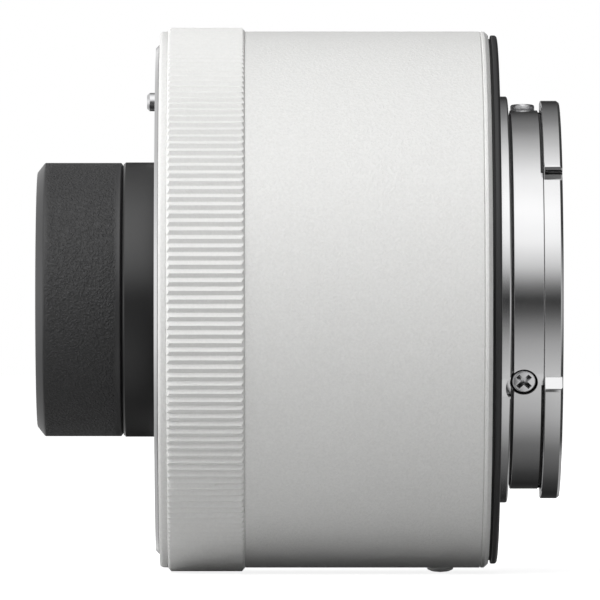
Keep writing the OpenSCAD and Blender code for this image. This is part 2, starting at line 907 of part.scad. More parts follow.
module front_flex_cable() {
  x0 = block_rear + 0.03;
  x1 = board_front - 1.23;
  z = contact_r;
  color("Orange")
    ribbon([[x0, z], [x0 + 1, z], [x0 + 2, z + 0.8], [x1 - 1.5, z + 0.8],
            [x1 - 0.7, z + 0.1], [x1, z + 0.1]], 0.2, 6);
}

module rear_flex_cable() {
  x0 = board_rear + 1.23;
  x1 = rear_insert_front - 0.03;
  high = contact_r + 3.4;
  low = contact_r + 0.4;
  color("Orange")
    ribbon([[x0, high], [-9.5, high], [-7, low], [x1, low]], 0.25, 6);
}

module control_board() {
  color("DarkGreen")
    difference() {
      ring_part(board_front, board_rear, rear_bore_r - 0.4, tube_r + 0.8, -115, 230);
      for (a = post_clocks)
        at_clock(a, barrel_screw_circle)
          rod(board_front - 1, board_rear + 1, board_screw_r + fit_gap);
    }
}

module board_screws() {
  color("LightGray")
    for (a = post_clocks)
      at_clock(a, barrel_screw_circle)
        difference() {
          union() {
            rod(board_rear, board_rear + board_screw_head_h, board_screw_head_r);
            rod(board_rear - board_screw_l, board_rear + 0.2, board_screw_r);
          }
          translate([board_rear + board_screw_head_h, 0, 0])
            rotate([0, 90, 0])
              cross_recess(1.5, 0.3, 0.4);
        }
}

module control_chip() {
  color("Black")
    at_clock(60)
      translate([board_rear, -2.5, contact_r - 0.3])
        cube([0.9, 5, 5]);
}

module board_connectors() {
  color("Ivory") {
    translate([board_front - 1.2, -3.6, contact_r - 0.6])
      cube([1.2, 7.2, 1.7]);
    translate([board_rear, -3.6, contact_r + 2.6])
      cube([1.2, 7.2, 1.9]);
  }
}

module nose_cap() {
  seat = g1_seat;
  color("DimGray")
    turned([
      [front_glass_r + 0.35, nose_front],
      [nose_r - 1.16, nose_front],
      [nose_r - 0.98, nose_front + 0.06],
      [nose_r - 0.1, nose_front + 0.72],
      [nose_r, nose_front + 0.92],
      [nose_r, cap_rear - 0.12],
      [nose_r - 0.12, cap_rear],
      [spigot_r, cap_rear],
      [spigot_r, tube_floor - clamp_ring_t - 0.08],
      [front_bore, tube_floor - clamp_ring_t - 0.08],
      [front_bore, seat],
      [lip_front_r, seat],
      [lip_front_r, seat - 0.4]
    ]);
}

module lens_barrel() {
  color("DimGray")
    difference() {
      turned([
        [spigot_r + fit_gap, tube_front],
        [nose_collar_r - 0.2, tube_front],
        [nose_collar_r, tube_front + 0.23],
        [nose_collar_r, flange_front],
        [flange_r, flange_front],
        [flange_r, flange_rear],
        [tube_r, flange_rear],
        [tube_r, tube_rear],
        [rear_bore, tube_rear],
        [rear_bore, rear_step],
        [fourth_bore, rear_step],
        [fourth_bore, lip_rear],
        [lip_r, lip_rear],
        [lip_r, lip_front],
        [middle_bore, lip_front],
        [middle_bore, tube_floor],
        [spigot_r + fit_gap, tube_floor]
      ]);
      ring_part(flange_front - 1, flange_rear + 1, contact_r + block_back_half_h + fit_gap,
                contact_r - block_back_half_h - fit_gap, -window_half - 0.6,
                2 * window_half + 1.2);
      for (a = barrel_screw_clocks)
        at_clock(a, barrel_screw_circle)
          flat_screw_hole(flange_front, 1, tube_screw_head_r, tube_screw_head_h, tube_screw_r,
                          tube_screw_l, 0.08);
    }
}

module lens_barrel_screws() {
  color("LightGray")
    for (a = barrel_screw_clocks)
      at_clock(a, barrel_screw_circle)
        flat_screw(flange_front + tube_screw_sunk, 1, tube_screw_head_r, tube_screw_head_h,
                   tube_screw_r, tube_screw_l);
}

module lens_1() {
  color("LightBlue", 0.4)
    glass(g1_front, g1_middle, curve_1, curve_1_2, front_glass_r);
}

module lens_2() {
  color("LightBlue", 0.4)
    glass(g1_middle + cement, g1_rear, curve_1_2, -curve_2, front_glass_r);
}

module lens_3() {
  color("LightBlue", 0.4)
    glass(g2_front, g2_rear, -curve_3_front, curve_3_rear, middle_glass_r);
}

module lens_4() {
  color("LightBlue", 0.4)
    glass(g3_front, g3_second, curve_4, -curve_4_5, middle_glass_r);
}

module lens_5() {
  color("LightBlue", 0.4)
    glass(g3_second + cement, g3_third, -curve_4_5, curve_5_6, middle_glass_r);
}

module lens_6() {
  color("LightBlue", 0.4)
    glass(g3_third + cement, g3_rear, curve_5_6, -curve_6, middle_glass_r);
}

module lens_7() {
  color("LightBlue", 0.4)
    glass(g4_front, g4_rear, -curve_7_front, -curve_7_rear, fourth_glass_r);
}

module lens_8() {
  color("LightBlue", 0.4)
    glass(g5_front, g5_rear, curve_8_front, -curve_8_rear, rear_glass_r);
}

module front_lens_ring() {
  color("DimGray")
    lens_ring(g1_ring_front, g1_ring_front + 1.2, front_bore - 0.05, g1_ring_r);
}

module middle_clamp_ring() {
  color("DimGray")
    ring(tube_floor - clamp_ring_t - 0.03, tube_floor - 0.03, spigot_r, clamp_ring_r);
}

module front_spacer() {
  color("DimGray")
    ring(g2_rim + 0.04, g3_front + sag(curve_4, spacer_r) - 0.04, middle_bore - 0.05, spacer_r);
}

module rear_spacer() {
  color("DimGray")
    ring(g4_rear - sag(curve_7_rear, rear_spacer_r) + 0.04,
         g5_front + sag(curve_8_front, rear_spacer_r) - 0.04, fourth_bore - 0.05, rear_spacer_r);
}

module rear_lens_ring() {
  color("DimGray")
    lens_ring(rear_ring_x, rear_ring_x + 1.25, rear_bore - 0.05, rear_ring_r);
}

// Slope at an end of a lug, from the neck up to the clock angle a. Side 1 is the last end.
module lug_slope(a, side) {
  along_x()
    translate([0, 0, lug_front + 0.05])
      linear_extrude(height = lug_l - 0.15)
        polygon([
          polar(lug_foot_r, a + side * lug_ramp),
          polar(neck_r, a + side * lug_ramp),
          polar(lug_r - 0.05, a - side * 0.3),
          polar(lug_foot_r, a - side)
        ]);
}

module rear_mount() {
  color("Silver")
    difference() {
      union() {
        turned([
          [neck_in_r, -rear_flange_t],
          [rear_flange_r, -rear_flange_t],
          [rear_flange_r, -0.1],
          [rear_flange_r - 0.1, 0],
          [collar_r, 0],
          [collar_r, collar_l - 0.14],
          [collar_r - 0.04, collar_l - 0.04],
          [collar_r - 0.14, collar_l],
          [neck_r - relief_depth, collar_l],
          [neck_r - relief_depth, collar_l + relief_w],
          [neck_r, collar_l + relief_w],
          [neck_r, bayonet_l - 0.25],
          [neck_r - 0.25, bayonet_l],
          [neck_in_r, bayonet_l]
        ]);
        for (l = lugs) {
          turned_part([
            [lug_foot_r, lug_front - 0.28],
            [neck_r + 0.08, lug_front - 0.28],
            [lug_r - 0.14, lug_front],
            [lug_r, lug_front + 0.14],
            [lug_r, bayonet_l - 0.36],
            [lug_r - 0.11, bayonet_l - 0.11],
            [lug_r - 0.36, bayonet_l],
            [lug_foot_r, bayonet_l]
          ], l[0], l[1]);
          lug_slope(l[0], -1);
          lug_slope(l[0] + l[1], 1);
        }
      }
      // Slot in the sloped end of the first lug
      at_clock(lugs[0][0] + lugs[0][1] + 0.4 * lug_ramp)
        translate([lug_front - 0.05, -lug_slot_w / 2, neck_r + 0.12])
          cube([lug_l + 1, lug_slot_w, 3]);
      // Seats and holes of the neck screws
      for (a = neck_screw_clocks)
        at_clock(a)
          translate([neck_screw_x, 0, 0]) {
            translate([0, 0, neck_seat_r])
              cylinder(r = neck_spot_r, h = 6);
            translate([0, 0, neck_in_r - 2])
              cylinder(r = neck_screw_r + screw_gap, h = neck_wall + 4);
          }
      for (a = mount_screw_clocks)
        at_clock(a, rear_screw_circle)
          flat_screw_hole(0, -1, screw_head_r, screw_head_h, screw_shaft_r, mount_screw_l,
                          screw_gap);
      // Hole for the lock pin of the camera
      at_clock(lock_clock, lock_circle)
        rod(-rear_flange_t + 0.2, 1, lock_r + 0.15);
    }
}

module rear_mount_screws() {
  color("LightGray")
    for (a = mount_screw_clocks)
      at_clock(a, rear_screw_circle)
        flat_screw(-screw_sunk, -1, screw_head_r, screw_head_h, screw_shaft_r, mount_screw_l);
}

module neck_screws() {
  head = neck_screw_d / 2;
  color("LightGray")
    for (a = neck_screw_clocks)
      at_clock(a)
        translate([neck_screw_x, 0, neck_seat_r])
          difference() {
            union() {
              rotate_extrude()
                polygon([
                  [0, 0],
                  [head, 0],
                  [head, neck_head_h - 0.22],
                  [head - 0.08, neck_head_h - 0.08],
                  [head - 0.22, neck_head_h],
                  [0, neck_head_h]
                ]);
              translate([0, 0, -neck_screw_tip])
                cylinder(r = neck_screw_r, h = neck_screw_tip + 0.2);
            }
            translate([0, 0, neck_head_h])
              rotate([0, 0, 45])
                cross_recess(1.8, 0.45, 0.5);
          }
}

module rear_baffle() {
  r_out = neck_in_r - fit_gap;
  plate_x = pad_x - 1.4;
  color("DimGray")
    difference() {
      turned([
        [0, plate_x],
        [r_out - 2.3, plate_x],
        [r_out - 2.3, rear_insert_front],
        [r_out, rear_insert_front],
        [r_out, plate_x + 1],
        [0, plate_x + 1]
      ]);
      translate([0, -baffle_w / 2, -baffle_h / 2])
        cube([20, baffle_w, baffle_h]);
      // Opening for the rear contact block
      ring_part(0, 10, r_out + 1, contact_r - 1.8, -block_half - 1.2, 2 * block_half + 2.4);
      for (a = neck_screw_clocks)
        at_clock(a)
          translate([neck_screw_x, 0, r_out - 3])
            cylinder(r = neck_screw_r + thread_gap, h = 4);
    }
}

module rear_contact_block() {
  r_out = neck_in_r - fit_gap;
  color("DimGray")
    difference() {
      ring_part(rear_insert_front, pad_x - rear_pad_t, r_out, contact_r - 1.6, -block_half,
                2 * block_half);
      at_clock(neck_screw_clocks[0])
        translate([neck_screw_x, 0, neck_seat_r - neck_screw_tip - 0.2])
          cylinder(r = neck_screw_r + thread_gap, h = 6);
    }
}

module rear_contacts() {
  color("Gold")
    for (i = [0:contact_count - 1])
      at_clock(contact_clock(i))
        translate([pad_x - rear_pad_t, -0.6, contact_r - 1.2])
          cube([rear_pad_t, 1.2, 2.4]);
}

main_barrel();
grip_ring();
front_cover();
rear_bezel();
rear_seal();
index_mark();
chassis();
front_mount();
front_mount_screws();
bayonet_spring();
front_liner();
lock_pin();
lock_pin_clip();
lock_pin_spring();
release_slide();
release_knob();
release_knob_screws();
front_contact_block();
front_contact_pins();
contact_springs();
front_flex_cable();
rear_flex_cable();
control_board();
board_screws();
control_chip();
board_connectors();
nose_cap();
lens_barrel();
lens_barrel_screws();
lens_1();
lens_2();
lens_3();
lens_4();
lens_5();
lens_6();
lens_7();
lens_8();
front_lens_ring();
middle_clamp_ring();
front_spacer();
rear_spacer();
rear_lens_ring();
rear_mount();
rear_mount_screws();
neck_screws();
rear_baffle();
rear_contact_block();
rear_contacts();
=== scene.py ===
import json
import math

import bpy
from mathutils import Matrix, Vector

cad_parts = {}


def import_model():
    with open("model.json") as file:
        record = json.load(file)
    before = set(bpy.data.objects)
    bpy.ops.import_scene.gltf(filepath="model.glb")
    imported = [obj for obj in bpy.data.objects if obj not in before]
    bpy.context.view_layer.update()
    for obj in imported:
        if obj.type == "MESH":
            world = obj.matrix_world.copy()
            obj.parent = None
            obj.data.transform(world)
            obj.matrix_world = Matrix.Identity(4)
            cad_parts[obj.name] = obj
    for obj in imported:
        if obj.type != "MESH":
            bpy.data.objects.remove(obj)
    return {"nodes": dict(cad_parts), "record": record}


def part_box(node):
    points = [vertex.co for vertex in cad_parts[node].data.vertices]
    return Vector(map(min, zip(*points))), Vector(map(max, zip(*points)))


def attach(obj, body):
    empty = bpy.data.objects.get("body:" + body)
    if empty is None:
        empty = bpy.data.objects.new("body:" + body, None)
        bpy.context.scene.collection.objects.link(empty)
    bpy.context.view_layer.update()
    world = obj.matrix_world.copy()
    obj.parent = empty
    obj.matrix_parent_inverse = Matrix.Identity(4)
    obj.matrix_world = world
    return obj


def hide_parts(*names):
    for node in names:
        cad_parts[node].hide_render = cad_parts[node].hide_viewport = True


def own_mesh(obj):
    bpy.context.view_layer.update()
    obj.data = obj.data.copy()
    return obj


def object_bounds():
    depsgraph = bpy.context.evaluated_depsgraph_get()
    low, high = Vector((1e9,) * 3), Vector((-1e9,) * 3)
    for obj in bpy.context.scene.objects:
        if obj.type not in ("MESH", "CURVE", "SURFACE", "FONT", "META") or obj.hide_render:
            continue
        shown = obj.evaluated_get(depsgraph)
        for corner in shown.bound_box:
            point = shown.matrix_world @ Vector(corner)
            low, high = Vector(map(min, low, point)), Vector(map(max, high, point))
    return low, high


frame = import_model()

# The optical axis is X: the lens goes on at -X and the camera body at +X. Up is +Z.
# Clock angles run round X from the top: 0 is +Z, 90 is -Y, 180 is -Z.
# Shapes are written in millimetres, and MM turns them into metres.
MM = 0.001
# Steps round a turned piece, and round each corner of its outline
ROUND_STEPS, CORNER_STEPS = 256, 4
WELD = 0.001 * MM
SMOOTH_ANGLE = math.radians(28)
BODY = "converter"
# Clock angle of the lock pin and its release, and the radius that the pin sits at
LOCK_CLOCK, LOCK_CIRCLE = -29.6, 26.0
# Half width of the release's stem, and how far it stands back from the ends of its knob
STEM_HALF, STEM_SETBACK = 1.6, 1.5
# Ridges round the grip, and the clock angle of the bar in one of its grooves
RIB_COUNT, INDEX_BAR_CLOCK = 200, 131.4

cad_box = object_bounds()
nodes = frame["nodes"]


def span(node):
    """Front x, rear x and outer radius of a node turned round the optical axis, in millimetres."""
    low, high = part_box(node)
    return low.x / MM, high.x / MM, max(high.y, high.z) / MM


# Shader node helpers


def add_node(tree, kind, **values):
    """A new node; each value sets a socket of that name, or else a property."""
    node = tree.nodes.new(kind)
    for name, value in values.items():
        socket = next((s for s in node.inputs if s.name.replace(" ", "_") == name), None)
        if socket is None:
            setattr(node, name, value)
        elif isinstance(value, bpy.types.NodeSocket):
            tree.links.new(value, socket)
        else:
            socket.default_value = value
    return node


def math_node(tree, operation, first, second=None):
    """Output of a Math node. Each operand is a number or a socket."""
    node = tree.nodes.new("ShaderNodeMath")
    node.operation = operation
    for socket, value in zip(node.inputs, (first, second)):
        if isinstance(value, bpy.types.NodeSocket):
            tree.links.new(value, socket)
        elif value is not None:
            socket.default_value = value
    return node.outputs[0]


def ramp_node(tree, factor, stops):
    """Output of a colour ramp with grey stops, given as (place, grey)."""
    node = tree.nodes.new("ShaderNodeValToRGB")
    tree.links.new(factor, node.inputs["Fac"])
    elements = node.color_ramp.elements
    while len(elements) < len(stops):
        elements.new(0.5)
    for element, (place, grey) in zip(elements, stops):
        element.position = place
        element.color = (grey, grey, grey, 1)
    return node.outputs["Color"]


def map_range(tree, value, low, high, start=0.0, stop=1.0):
    """Output that runs from low to high while value runs from start to stop."""
    node = add_node(tree, "ShaderNodeMapRange", Value=value, From_Min=start, From_Max=stop,
                    To_Min=low, To_Max=high)
    return node.outputs["Result"]


def mix_colours(tree, factor, first, second):
    """Output that runs from the first colour to the second with the factor. Each is a colour or a socket."""
    node = add_node(tree, "ShaderNodeMix", data_type="RGBA")
    tree.links.new(factor, node.inputs[0])
    for socket, colour in ((node.inputs[6], first), (node.inputs[7], second)):
        if isinstance(colour, bpy.types.NodeSocket):
            tree.links.new(colour, socket)
        else:
            socket.default_value = (*colour, 1)
    return node.outputs[2]


def new_group(name, inputs, outputs):
    """A shader node group with float inputs, given with their values, and float outputs."""
    tree = bpy.data.node_groups.new(name, "ShaderNodeTree")
    for label, value in inputs.items():
        socket = tree.interface.new_socket(label, in_out="INPUT", socket_type="NodeSocketFloat")
        socket.default_value = value
    for label in outputs:
        tree.interface.new_socket(label, in_out="OUTPUT", socket_type="NodeSocketFloat")
    entry = tree.nodes.new("NodeGroupInput")
    leave = tree.nodes.new("NodeGroupOutput")
    place = tree.nodes.new("ShaderNodeTexCoord").outputs["Object"]
    return tree, entry.outputs, leave.inputs, place


# Surface effects that several finishes share

# Where the nose's grain fades out and in along X
NOSE_FRONT_MARGIN = (-50.95 * MM, -50.3 * MM)
NOSE_REAR_MARGIN = (-43.2 * MM, -42.6 * MM)
# Pebbles of the grain and rings of the turning marks per metre, and their depths in millimetres
GRAIN_PEBBLES, GRAIN_DEPTH = 3600, 0.1
TURNING_RINGS, TURNING_DEPTH = 9000, 0.0006
# How far the painted shade of a recess reaches out of it on metal, in millimetres
METAL_SHADE_REACH = 0.5


def wrinkle_group():
    """Fine wrinkled skin of sprayed paint and moulded plastic."""
    tree, given, made, place = new_group("fine_wrinkle", {"Grains per metre": 2600}, ["Height", "Patch"])
    coarse = add_node(tree, "ShaderNodeTexNoise", Vector=place, Scale=given["Grains per metre"],
                      Detail=2.5, Roughness=0.55, Distortion=0.6)
    patch = add_node(tree, "ShaderNodeTexNoise", Vector=place, Scale=120, Detail=2)
    tree.links.new(ramp_node(tree, coarse.outputs["Fac"], [(0.32, 0), (0.68, 1)]), made["Height"])
    tree.links.new(patch.outputs["Fac"], made["Patch"])
    return tree


def grain_group():
    """Leather-like grain: small pebbles and stretched creases, which fade towards the plain margins."""
    tree, given, made, place = new_group("leather_grain", {"Pebbles per metre": GRAIN_PEBBLES},
                                         ["Height", "Crease"])
    warp = add_node(tree, "ShaderNodeTexNoise", Vector=place, Scale=1700, Detail=3)
    bent = add_node(tree, "ShaderNodeVectorMath", operation="MULTIPLY_ADD")
    tree.links.new(warp.outputs["Color"], bent.inputs[0])
    bent.inputs[1].default_value = [0.45 * MM] * 3
    tree.links.new(place, bent.inputs[2])
    pebbles = add_node(tree, "ShaderNodeTexVoronoi", Vector=bent.outputs[0],
                       Scale=given["Pebbles per metre"], feature="SMOOTH_F1", Smoothness=0.35)
    folds = add_node(tree, "ShaderNodeTexNoise", Vector=bent.outputs[0], Scale=2300, Detail=3,
                     Roughness=0.6, Distortion=1.2)
    pebble_height = ramp_node(tree, pebbles.outputs["Distance"], [(0.1, 1), (0.75, 0)])
    fold_height = ramp_node(tree, folds.outputs["Fac"], [(0.36, 0), (0.64, 1)])
    height = math_node(tree, "ADD", math_node(tree, "MULTIPLY", pebble_height, 0.55),
                       math_node(tree, "MULTIPLY", fold_height, 0.45))
    along = add_node(tree, "ShaderNodeSeparateXYZ", Vector=place).outputs["X"]
    front_margin = map_range(tree, along, 0.0, 1.0, *NOSE_FRONT_MARGIN)
    rear_margin = map_range(tree, along, 1.0, 0.0, *NOSE_REAR_MARGIN)
    grained = math_node(tree, "MULTIPLY", front_margin, rear_margin)
    tree.links.new(math_node(tree, "MULTIPLY", height, grained), made["Height"])
    crease = math_node(tree, "SUBTRACT", 1.0, height)
    tree.links.new(math_node(tree, "MULTIPLY", crease, grained), made["Crease"])
    return tree


def turning_group():
    """Fine rings that a lathe tool leaves round the optical axis."""
    tree, given, made, place = new_group("turning_marks", {"Rings per metre": TURNING_RINGS},
                                         ["Height", "Smear"])
    split = add_node(tree, "ShaderNodeSeparateXYZ", Vector=place)
    flat = add_node(tree, "ShaderNodeCombineXYZ", Y=split.outputs["Y"], Z=split.outputs["Z"])
    radius = add_node(tree, "ShaderNodeVectorMath", operation="LENGTH")
    tree.links.new(flat.outputs[0], radius.inputs[0])
    profile = add_node(tree, "ShaderNodeCombineXYZ", X=split.outputs["X"], Y=radius.outputs["Value"])
    rings = add_node(tree, "ShaderNodeTexNoise", noise_dimensions="2D", Vector=profile.outputs[0],
                     Scale=given["Rings per metre"], Detail=2)
    smear = add_node(tree, "ShaderNodeTexNoise", Vector=place, Scale=260, Detail=3)
    tree.links.new(rings.outputs["Fac"], made["Height"])
    tree.links.new(smear.outputs["Fac"], made["Smear"])
    return tree


def painted_recess_shade_group():
    """1 on open surfaces and 0 deep in a groove, slot or corner, where shade is painted into the colour."""
    tree, given, made, _ = new_group("dark_recess", {"Reach": METAL_SHADE_REACH * MM}, ["Open"])
    near = add_node(tree, "ShaderNodeAmbientOcclusion", Distance=given["Reach"], samples=8)
    tree.links.new(ramp_node(tree, near.outputs["AO"], [(0.46, 0), (0.82, 1)]), made["Open"])
    return tree


WRINKLE = wrinkle_group()
GRAIN = grain_group()
TURNING = turning_group()
RECESS_SHADE = painted_recess_shade_group()


# Finishes


# Near-black colour painted deep in grooves, slots and corners as shade
PAINTED_SHADE_COLOUR = (0.006, 0.006, 0.006)
WHITE = (0.8, 0.8, 0.788)


def new_finish(name, colour, roughness, metallic=0.0):
    """A new material, its node tree and the inputs of its shader."""
    material = bpy.data.materials.new(name)
    material.use_nodes = True
    tree = material.node_tree
    shader = tree.nodes["Principled BSDF"]
    shader.inputs["Base Color"].default_value = (*colour, 1)
    shader.inputs["Roughness"].default_value = roughness
    shader.inputs["Metallic"].default_value = metallic
    return material, tree, shader.inputs


def place_group(tree, group, value):
    """An effect group in a material, with the value of its one input."""
    node = tree.nodes.new("ShaderNodeGroup")
    node.node_tree = group
    node.inputs[0].default_value = value
    return node.outputs


def add_bump(tree, sockets, height, depth):
    """Bump of that depth in millimetres from a height of 0 to 1."""
    bump = add_node(tree, "ShaderNodeBump", Height=height, Distance=depth * MM)
    tree.links.new(bump.outputs["Normal"], sockets["Normal"])


def painted(name, colour, roughness, grains, depth, spread=0.015, recess_shade=0.0, mirror=0.5):
    """Sprayed paint or moulded plastic with a wrinkled skin.

    Grains are counted per metre, and the depth of the skin is in millimetres. Spread is the share by which
    its colour goes darker in the dips of the skin as painted shade and varies in random patches, recess the
    reach of painted shade in recesses in millimetres, mirror the mirror share.
    """
    material, tree, sockets = new_finish(name, colour, roughness)
    skin = place_group(tree, WRINKLE, grains)
    dark = [c * (1 - spread) for c in colour]
    light = [c * (1 + spread) for c in colour]
    # Painted shade in the dips of the skin, three parts to one part of random patches of tone
    dip_shade_and_tone = math_node(tree, "ADD", math_node(tree, "MULTIPLY", skin["Height"], 0.75),
                        math_node(tree, "MULTIPLY", skin["Patch"], 0.25))
    shade = mix_colours(tree, dip_shade_and_tone, dark, light)
    # Painted shade: where a reach is given, recesses go near black
    if recess_shade:
        shade = mix_colours(tree, place_group(tree, RECESS_SHADE, recess_shade * MM)["Open"], PAINTED_SHADE_COLOUR, shade)
    tree.links.new(shade, sockets["Base Color"])
    tree.links.new(map_range(tree, skin["Patch"], roughness - 0.05, roughness + 0.05), sockets["Roughness"])
    sockets["Specular IOR Level"].default_value = mirror
    add_bump(tree, sockets, skin["Height"], depth)
    return material


def turned_metal(name, colour, roughness):
    """Bare or plated metal with fine turning marks, and painted shade that makes its recesses near black and
    matt.
    """
    material, tree, sockets = new_finish(name, colour, roughness, metallic=1.0)
    marks = place_group(tree, TURNING, TURNING_RINGS)
    is_open = place_group(tree, RECESS_SHADE, METAL_SHADE_REACH * MM)["Open"]
    dark = [c * 0.96 for c in colour]
    light = [min(1, c * 1.03) for c in colour]
    metal = mix_colours(tree, marks["Smear"], dark, light)
    # Painted shade: recesses go near black, lose their metal and turn matt
    tree.links.new(mix_colours(tree, is_open, PAINTED_SHADE_COLOUR, metal), sockets["Base Color"])
    tree.links.new(is_open, sockets["Metallic"])
    smear = map_range(tree, marks["Smear"], roughness - 0.03, roughness + 0.04)
    matt = map_range(tree, is_open, 0.5, 0.0)
    tree.links.new(math_node(tree, "ADD", smear, matt), sockets["Roughness"])
    add_bump(tree, sockets, marks["Height"], TURNING_DEPTH)
    return material


def grained_black():
    """Black moulding with a leather-like grain, with painted shade making its creases darker; they are also
    duller.
    """
    material, tree, sockets = new_finish("grained_black", (0.015, 0.015, 0.016), 0.45)
    grain = place_group(tree, GRAIN, GRAIN_PEBBLES)
    # Painted shade: the low creases of the grain are darker
    shade = mix_colours(tree, grain["Crease"], (0.018, 0.018, 0.019), (0.004, 0.004, 0.0045))
    tree.links.new(shade, sockets["Base Color"])
    tree.links.new(map_range(tree, grain["Crease"], 0.4, 0.56), sockets["Roughness"])
    sockets["Specular IOR Level"].default_value = 1.0
    add_bump(tree, sockets, grain["Height"], GRAIN_DEPTH)
    return material


def coated_glass():
    """Clear glass with a green mirror tint from its coating."""
    material, _, sockets = new_finish("coated_glass", (0.97, 0.985, 0.98), 0.0)
    sockets["Transmission Weight"].default_value = 1.0
    sockets["IOR"].default_value = 1.45
    sockets["Specular Tint"].default_value = (0.45, 0.75, 0.62, 1)
    return material


FINISHES = {
    "white_paint": painted("white_paint", WHITE, 0.45, 3300, 0.022, spread=0.045),
    "white_ribs": painted("white_ribs", WHITE, 0.45, 3300, 0.01, spread=0.03),
    "white_plastic": painted("white_plastic", (0.82, 0.82, 0.81), 0.35, 3000, 0.003),
    # The seal rubber gets painted shade in its groove
    "seal_rubber": painted("seal_rubber", (0.022, 0.022, 0.023), 0.42, 4000, 0.003, recess_shade=0.4),
    "frame_metal": turned_metal("frame_metal", (0.08, 0.08, 0.085), 0.4),
    "mount_metal": turned_metal("mount_metal", (0.76, 0.76, 0.765), 0.14),
    "screw_steel": turned_metal("screw_steel", (0.78, 0.78, 0.79), 0.2),
    "spring_steel": turned_metal("spring_steel", (0.5, 0.5, 0.51), 0.3),
    "bronze": turned_metal("bronze", (0.62, 0.46, 0.24), 0.3),
    "contact_gold": turned_metal("contact_gold", (0.86, 0.64, 0.27), 0.2),
    "black_plastic": painted("black_plastic", (0.018, 0.018, 0.019), 0.55, 5200, 0.004),
    "black_grain": grained_black(),
    "black_satin": painted("black_satin", (0.008, 0.008, 0.0085), 0.32, 4200, 0.002, mirror=1.0),
    "knob_metal": painted("knob_metal", (0.74, 0.74, 0.73), 0.4, 3000, 0.004),
    "flex_amber": painted("flex_amber", (0.55, 0.25, 0.05), 0.35, 2000, 0.002),
    "board_green": painted("board_green", (0.02, 0.14, 0.06), 0.35, 2000, 0.004),
    "chip_black": painted("chip_black", (0.02, 0.02, 0.02), 0.5, 5200, 0.003),
    "connector_ivory": painted("connector_ivory", (0.75, 0.72, 0.62), 0.4, 3000, 0.002),
    "glass": coated_glass(),
}


def finish_cad_nodes():
    """Gives each CAD node that stays the finish of its slot."""
    for part in frame["record"]["subparts"]:
        nodes[part["node"]].material_slots[0].material = FINISHES[part["material_slot"]]


# Modelling helpers


def rounded(corners):
    """Points of a closed outline. A corner is (x, radius) or (x, radius, rounding)."""
    points = []
    for i, corner in enumerate(corners):
        here = Vector(corner[:2])
        if len(corner) == 2:
            points.append(here)
            continue
        rounding = corner[2]
        before = (Vector(corners[i - 1][:2]) - here).normalized()
        after = (Vector(corners[(i + 1) % len(corners)][:2]) - here).normalized()
        half = before.angle(after) / 2
        centre = here + (before + after).normalized() * rounding / math.sin(half)
        first = here + before * rounding / math.tan(half) - centre
        last = here + after * rounding / math.tan(half) - centre
        turns = [first.slerp(last, k / CORNER_STEPS) for k in range(CORNER_STEPS + 1)]
        points += [centre + turn.normalized() * rounding for turn in turns]
    return points


def start_at(name, x, y, z):
    """A new piece in edit mode that is one selected point, in millimetres."""
    bpy.ops.object.select_all(action="DESELECT")
    bpy.ops.mesh.primitive_plane_add(size=MM)
    piece = bpy.context.object
    piece.name = name
    piece.data.name = name
    bpy.ops.object.mode_set(mode="EDIT")
    bpy.ops.mesh.select_all(action="SELECT")
    bpy.ops.mesh.merge(type="CENTER")
    bpy.ops.transform.translate(value=(x * MM, y * MM, z * MM))
    return piece


def draw_to(step):
    """Extrudes the selected point by a step in millimetres."""
    move = {"value": tuple(v * MM for v in step)}
    bpy.ops.mesh.extrude_vertices_move(TRANSFORM_OT_translate=move)


def close_mesh():
    """Welds the mesh, turns its faces outwards and leaves edit mode."""
    bpy.ops.mesh.select_all(action="SELECT")
    bpy.ops.mesh.remove_doubles(threshold=WELD)
    bpy.ops.mesh.normals_make_consistent(inside=False)
    bpy.ops.object.mode_set(mode="OBJECT")


def turned(name, corners, steps=ROUND_STEPS, clock=0.0, width=360.0):
    """A piece turned round the optical axis, or a part of one that is width degrees wide."""
    sweep = math.radians(width)
    points = rounded(corners)
    piece = start_at(name, points[0].x, 0, points[0].y)
    for a, b in zip(points, points[1:] + points[:1]):
        draw_to((b.x - a.x, 0, b.y - a.y))
    bpy.ops.mesh.select_all(action="SELECT")
    bpy.ops.mesh.remove_doubles(threshold=WELD)
    bpy.ops.mesh.spin(steps=steps, angle=-sweep, center=(0, 0, 0), axis=(1, 0, 0))
    if width < 360:
        bpy.ops.mesh.select_all(action="DESELECT")
        bpy.ops.mesh.select_non_manifold()
        bpy.ops.mesh.fill_holes(sides=0)
    close_mesh()
    piece.rotation_euler = (math.radians(clock), 0, 0)
    apply_place(piece)
    return piece


def apply_place(piece):
    """Moves the place and turn of a piece into its mesh."""
    bpy.ops.object.select_all(action="DESELECT")
    piece.select_set(True)
    bpy.context.view_layer.objects.active = piece
    bpy.ops.object.transform_apply(location=True, rotation=True, scale=True)


def clock_point(clock, radius):
    """Y and Z of a point at a clock angle and a radius."""
    a = math.radians(clock)
    return -radius * math.sin(a), radius * math.cos(a)


def prism(name, points, front, rear, taper=1.0):
    """A piece with an outline of (y, z) points, drawn out along X. Taper shrinks its rear end."""
    piece = start_at(name, front, *points[0])
    for a, b in zip(points, points[1:] + points[:1]):
        draw_to((0, b[0] - a[0], b[1] - a[1]))
    bpy.ops.mesh.select_all(action="SELECT")
    bpy.ops.mesh.remove_doubles(threshold=WELD)
    bpy.ops.mesh.edge_face_add()
    move = {"value": ((rear - front) * MM, 0, 0)}
    bpy.ops.mesh.extrude_region_move(TRANSFORM_OT_translate=move)
    bpy.ops.transform.resize(value=(1, taper, taper), center_override=(rear * MM, 0, 0))
    close_mesh()
    return piece


def set_radially(piece, x, clock):
    """Turns a piece made along X so that its own X points outwards at a clock angle."""
    turn = Matrix.Rotation(math.radians(clock), 4, "X") @ Matrix.Rotation(-math.pi / 2, 4, "Y")
    piece.matrix_world = Matrix.Translation((x * MM, 0, 0)) @ turn
    apply_place(piece)


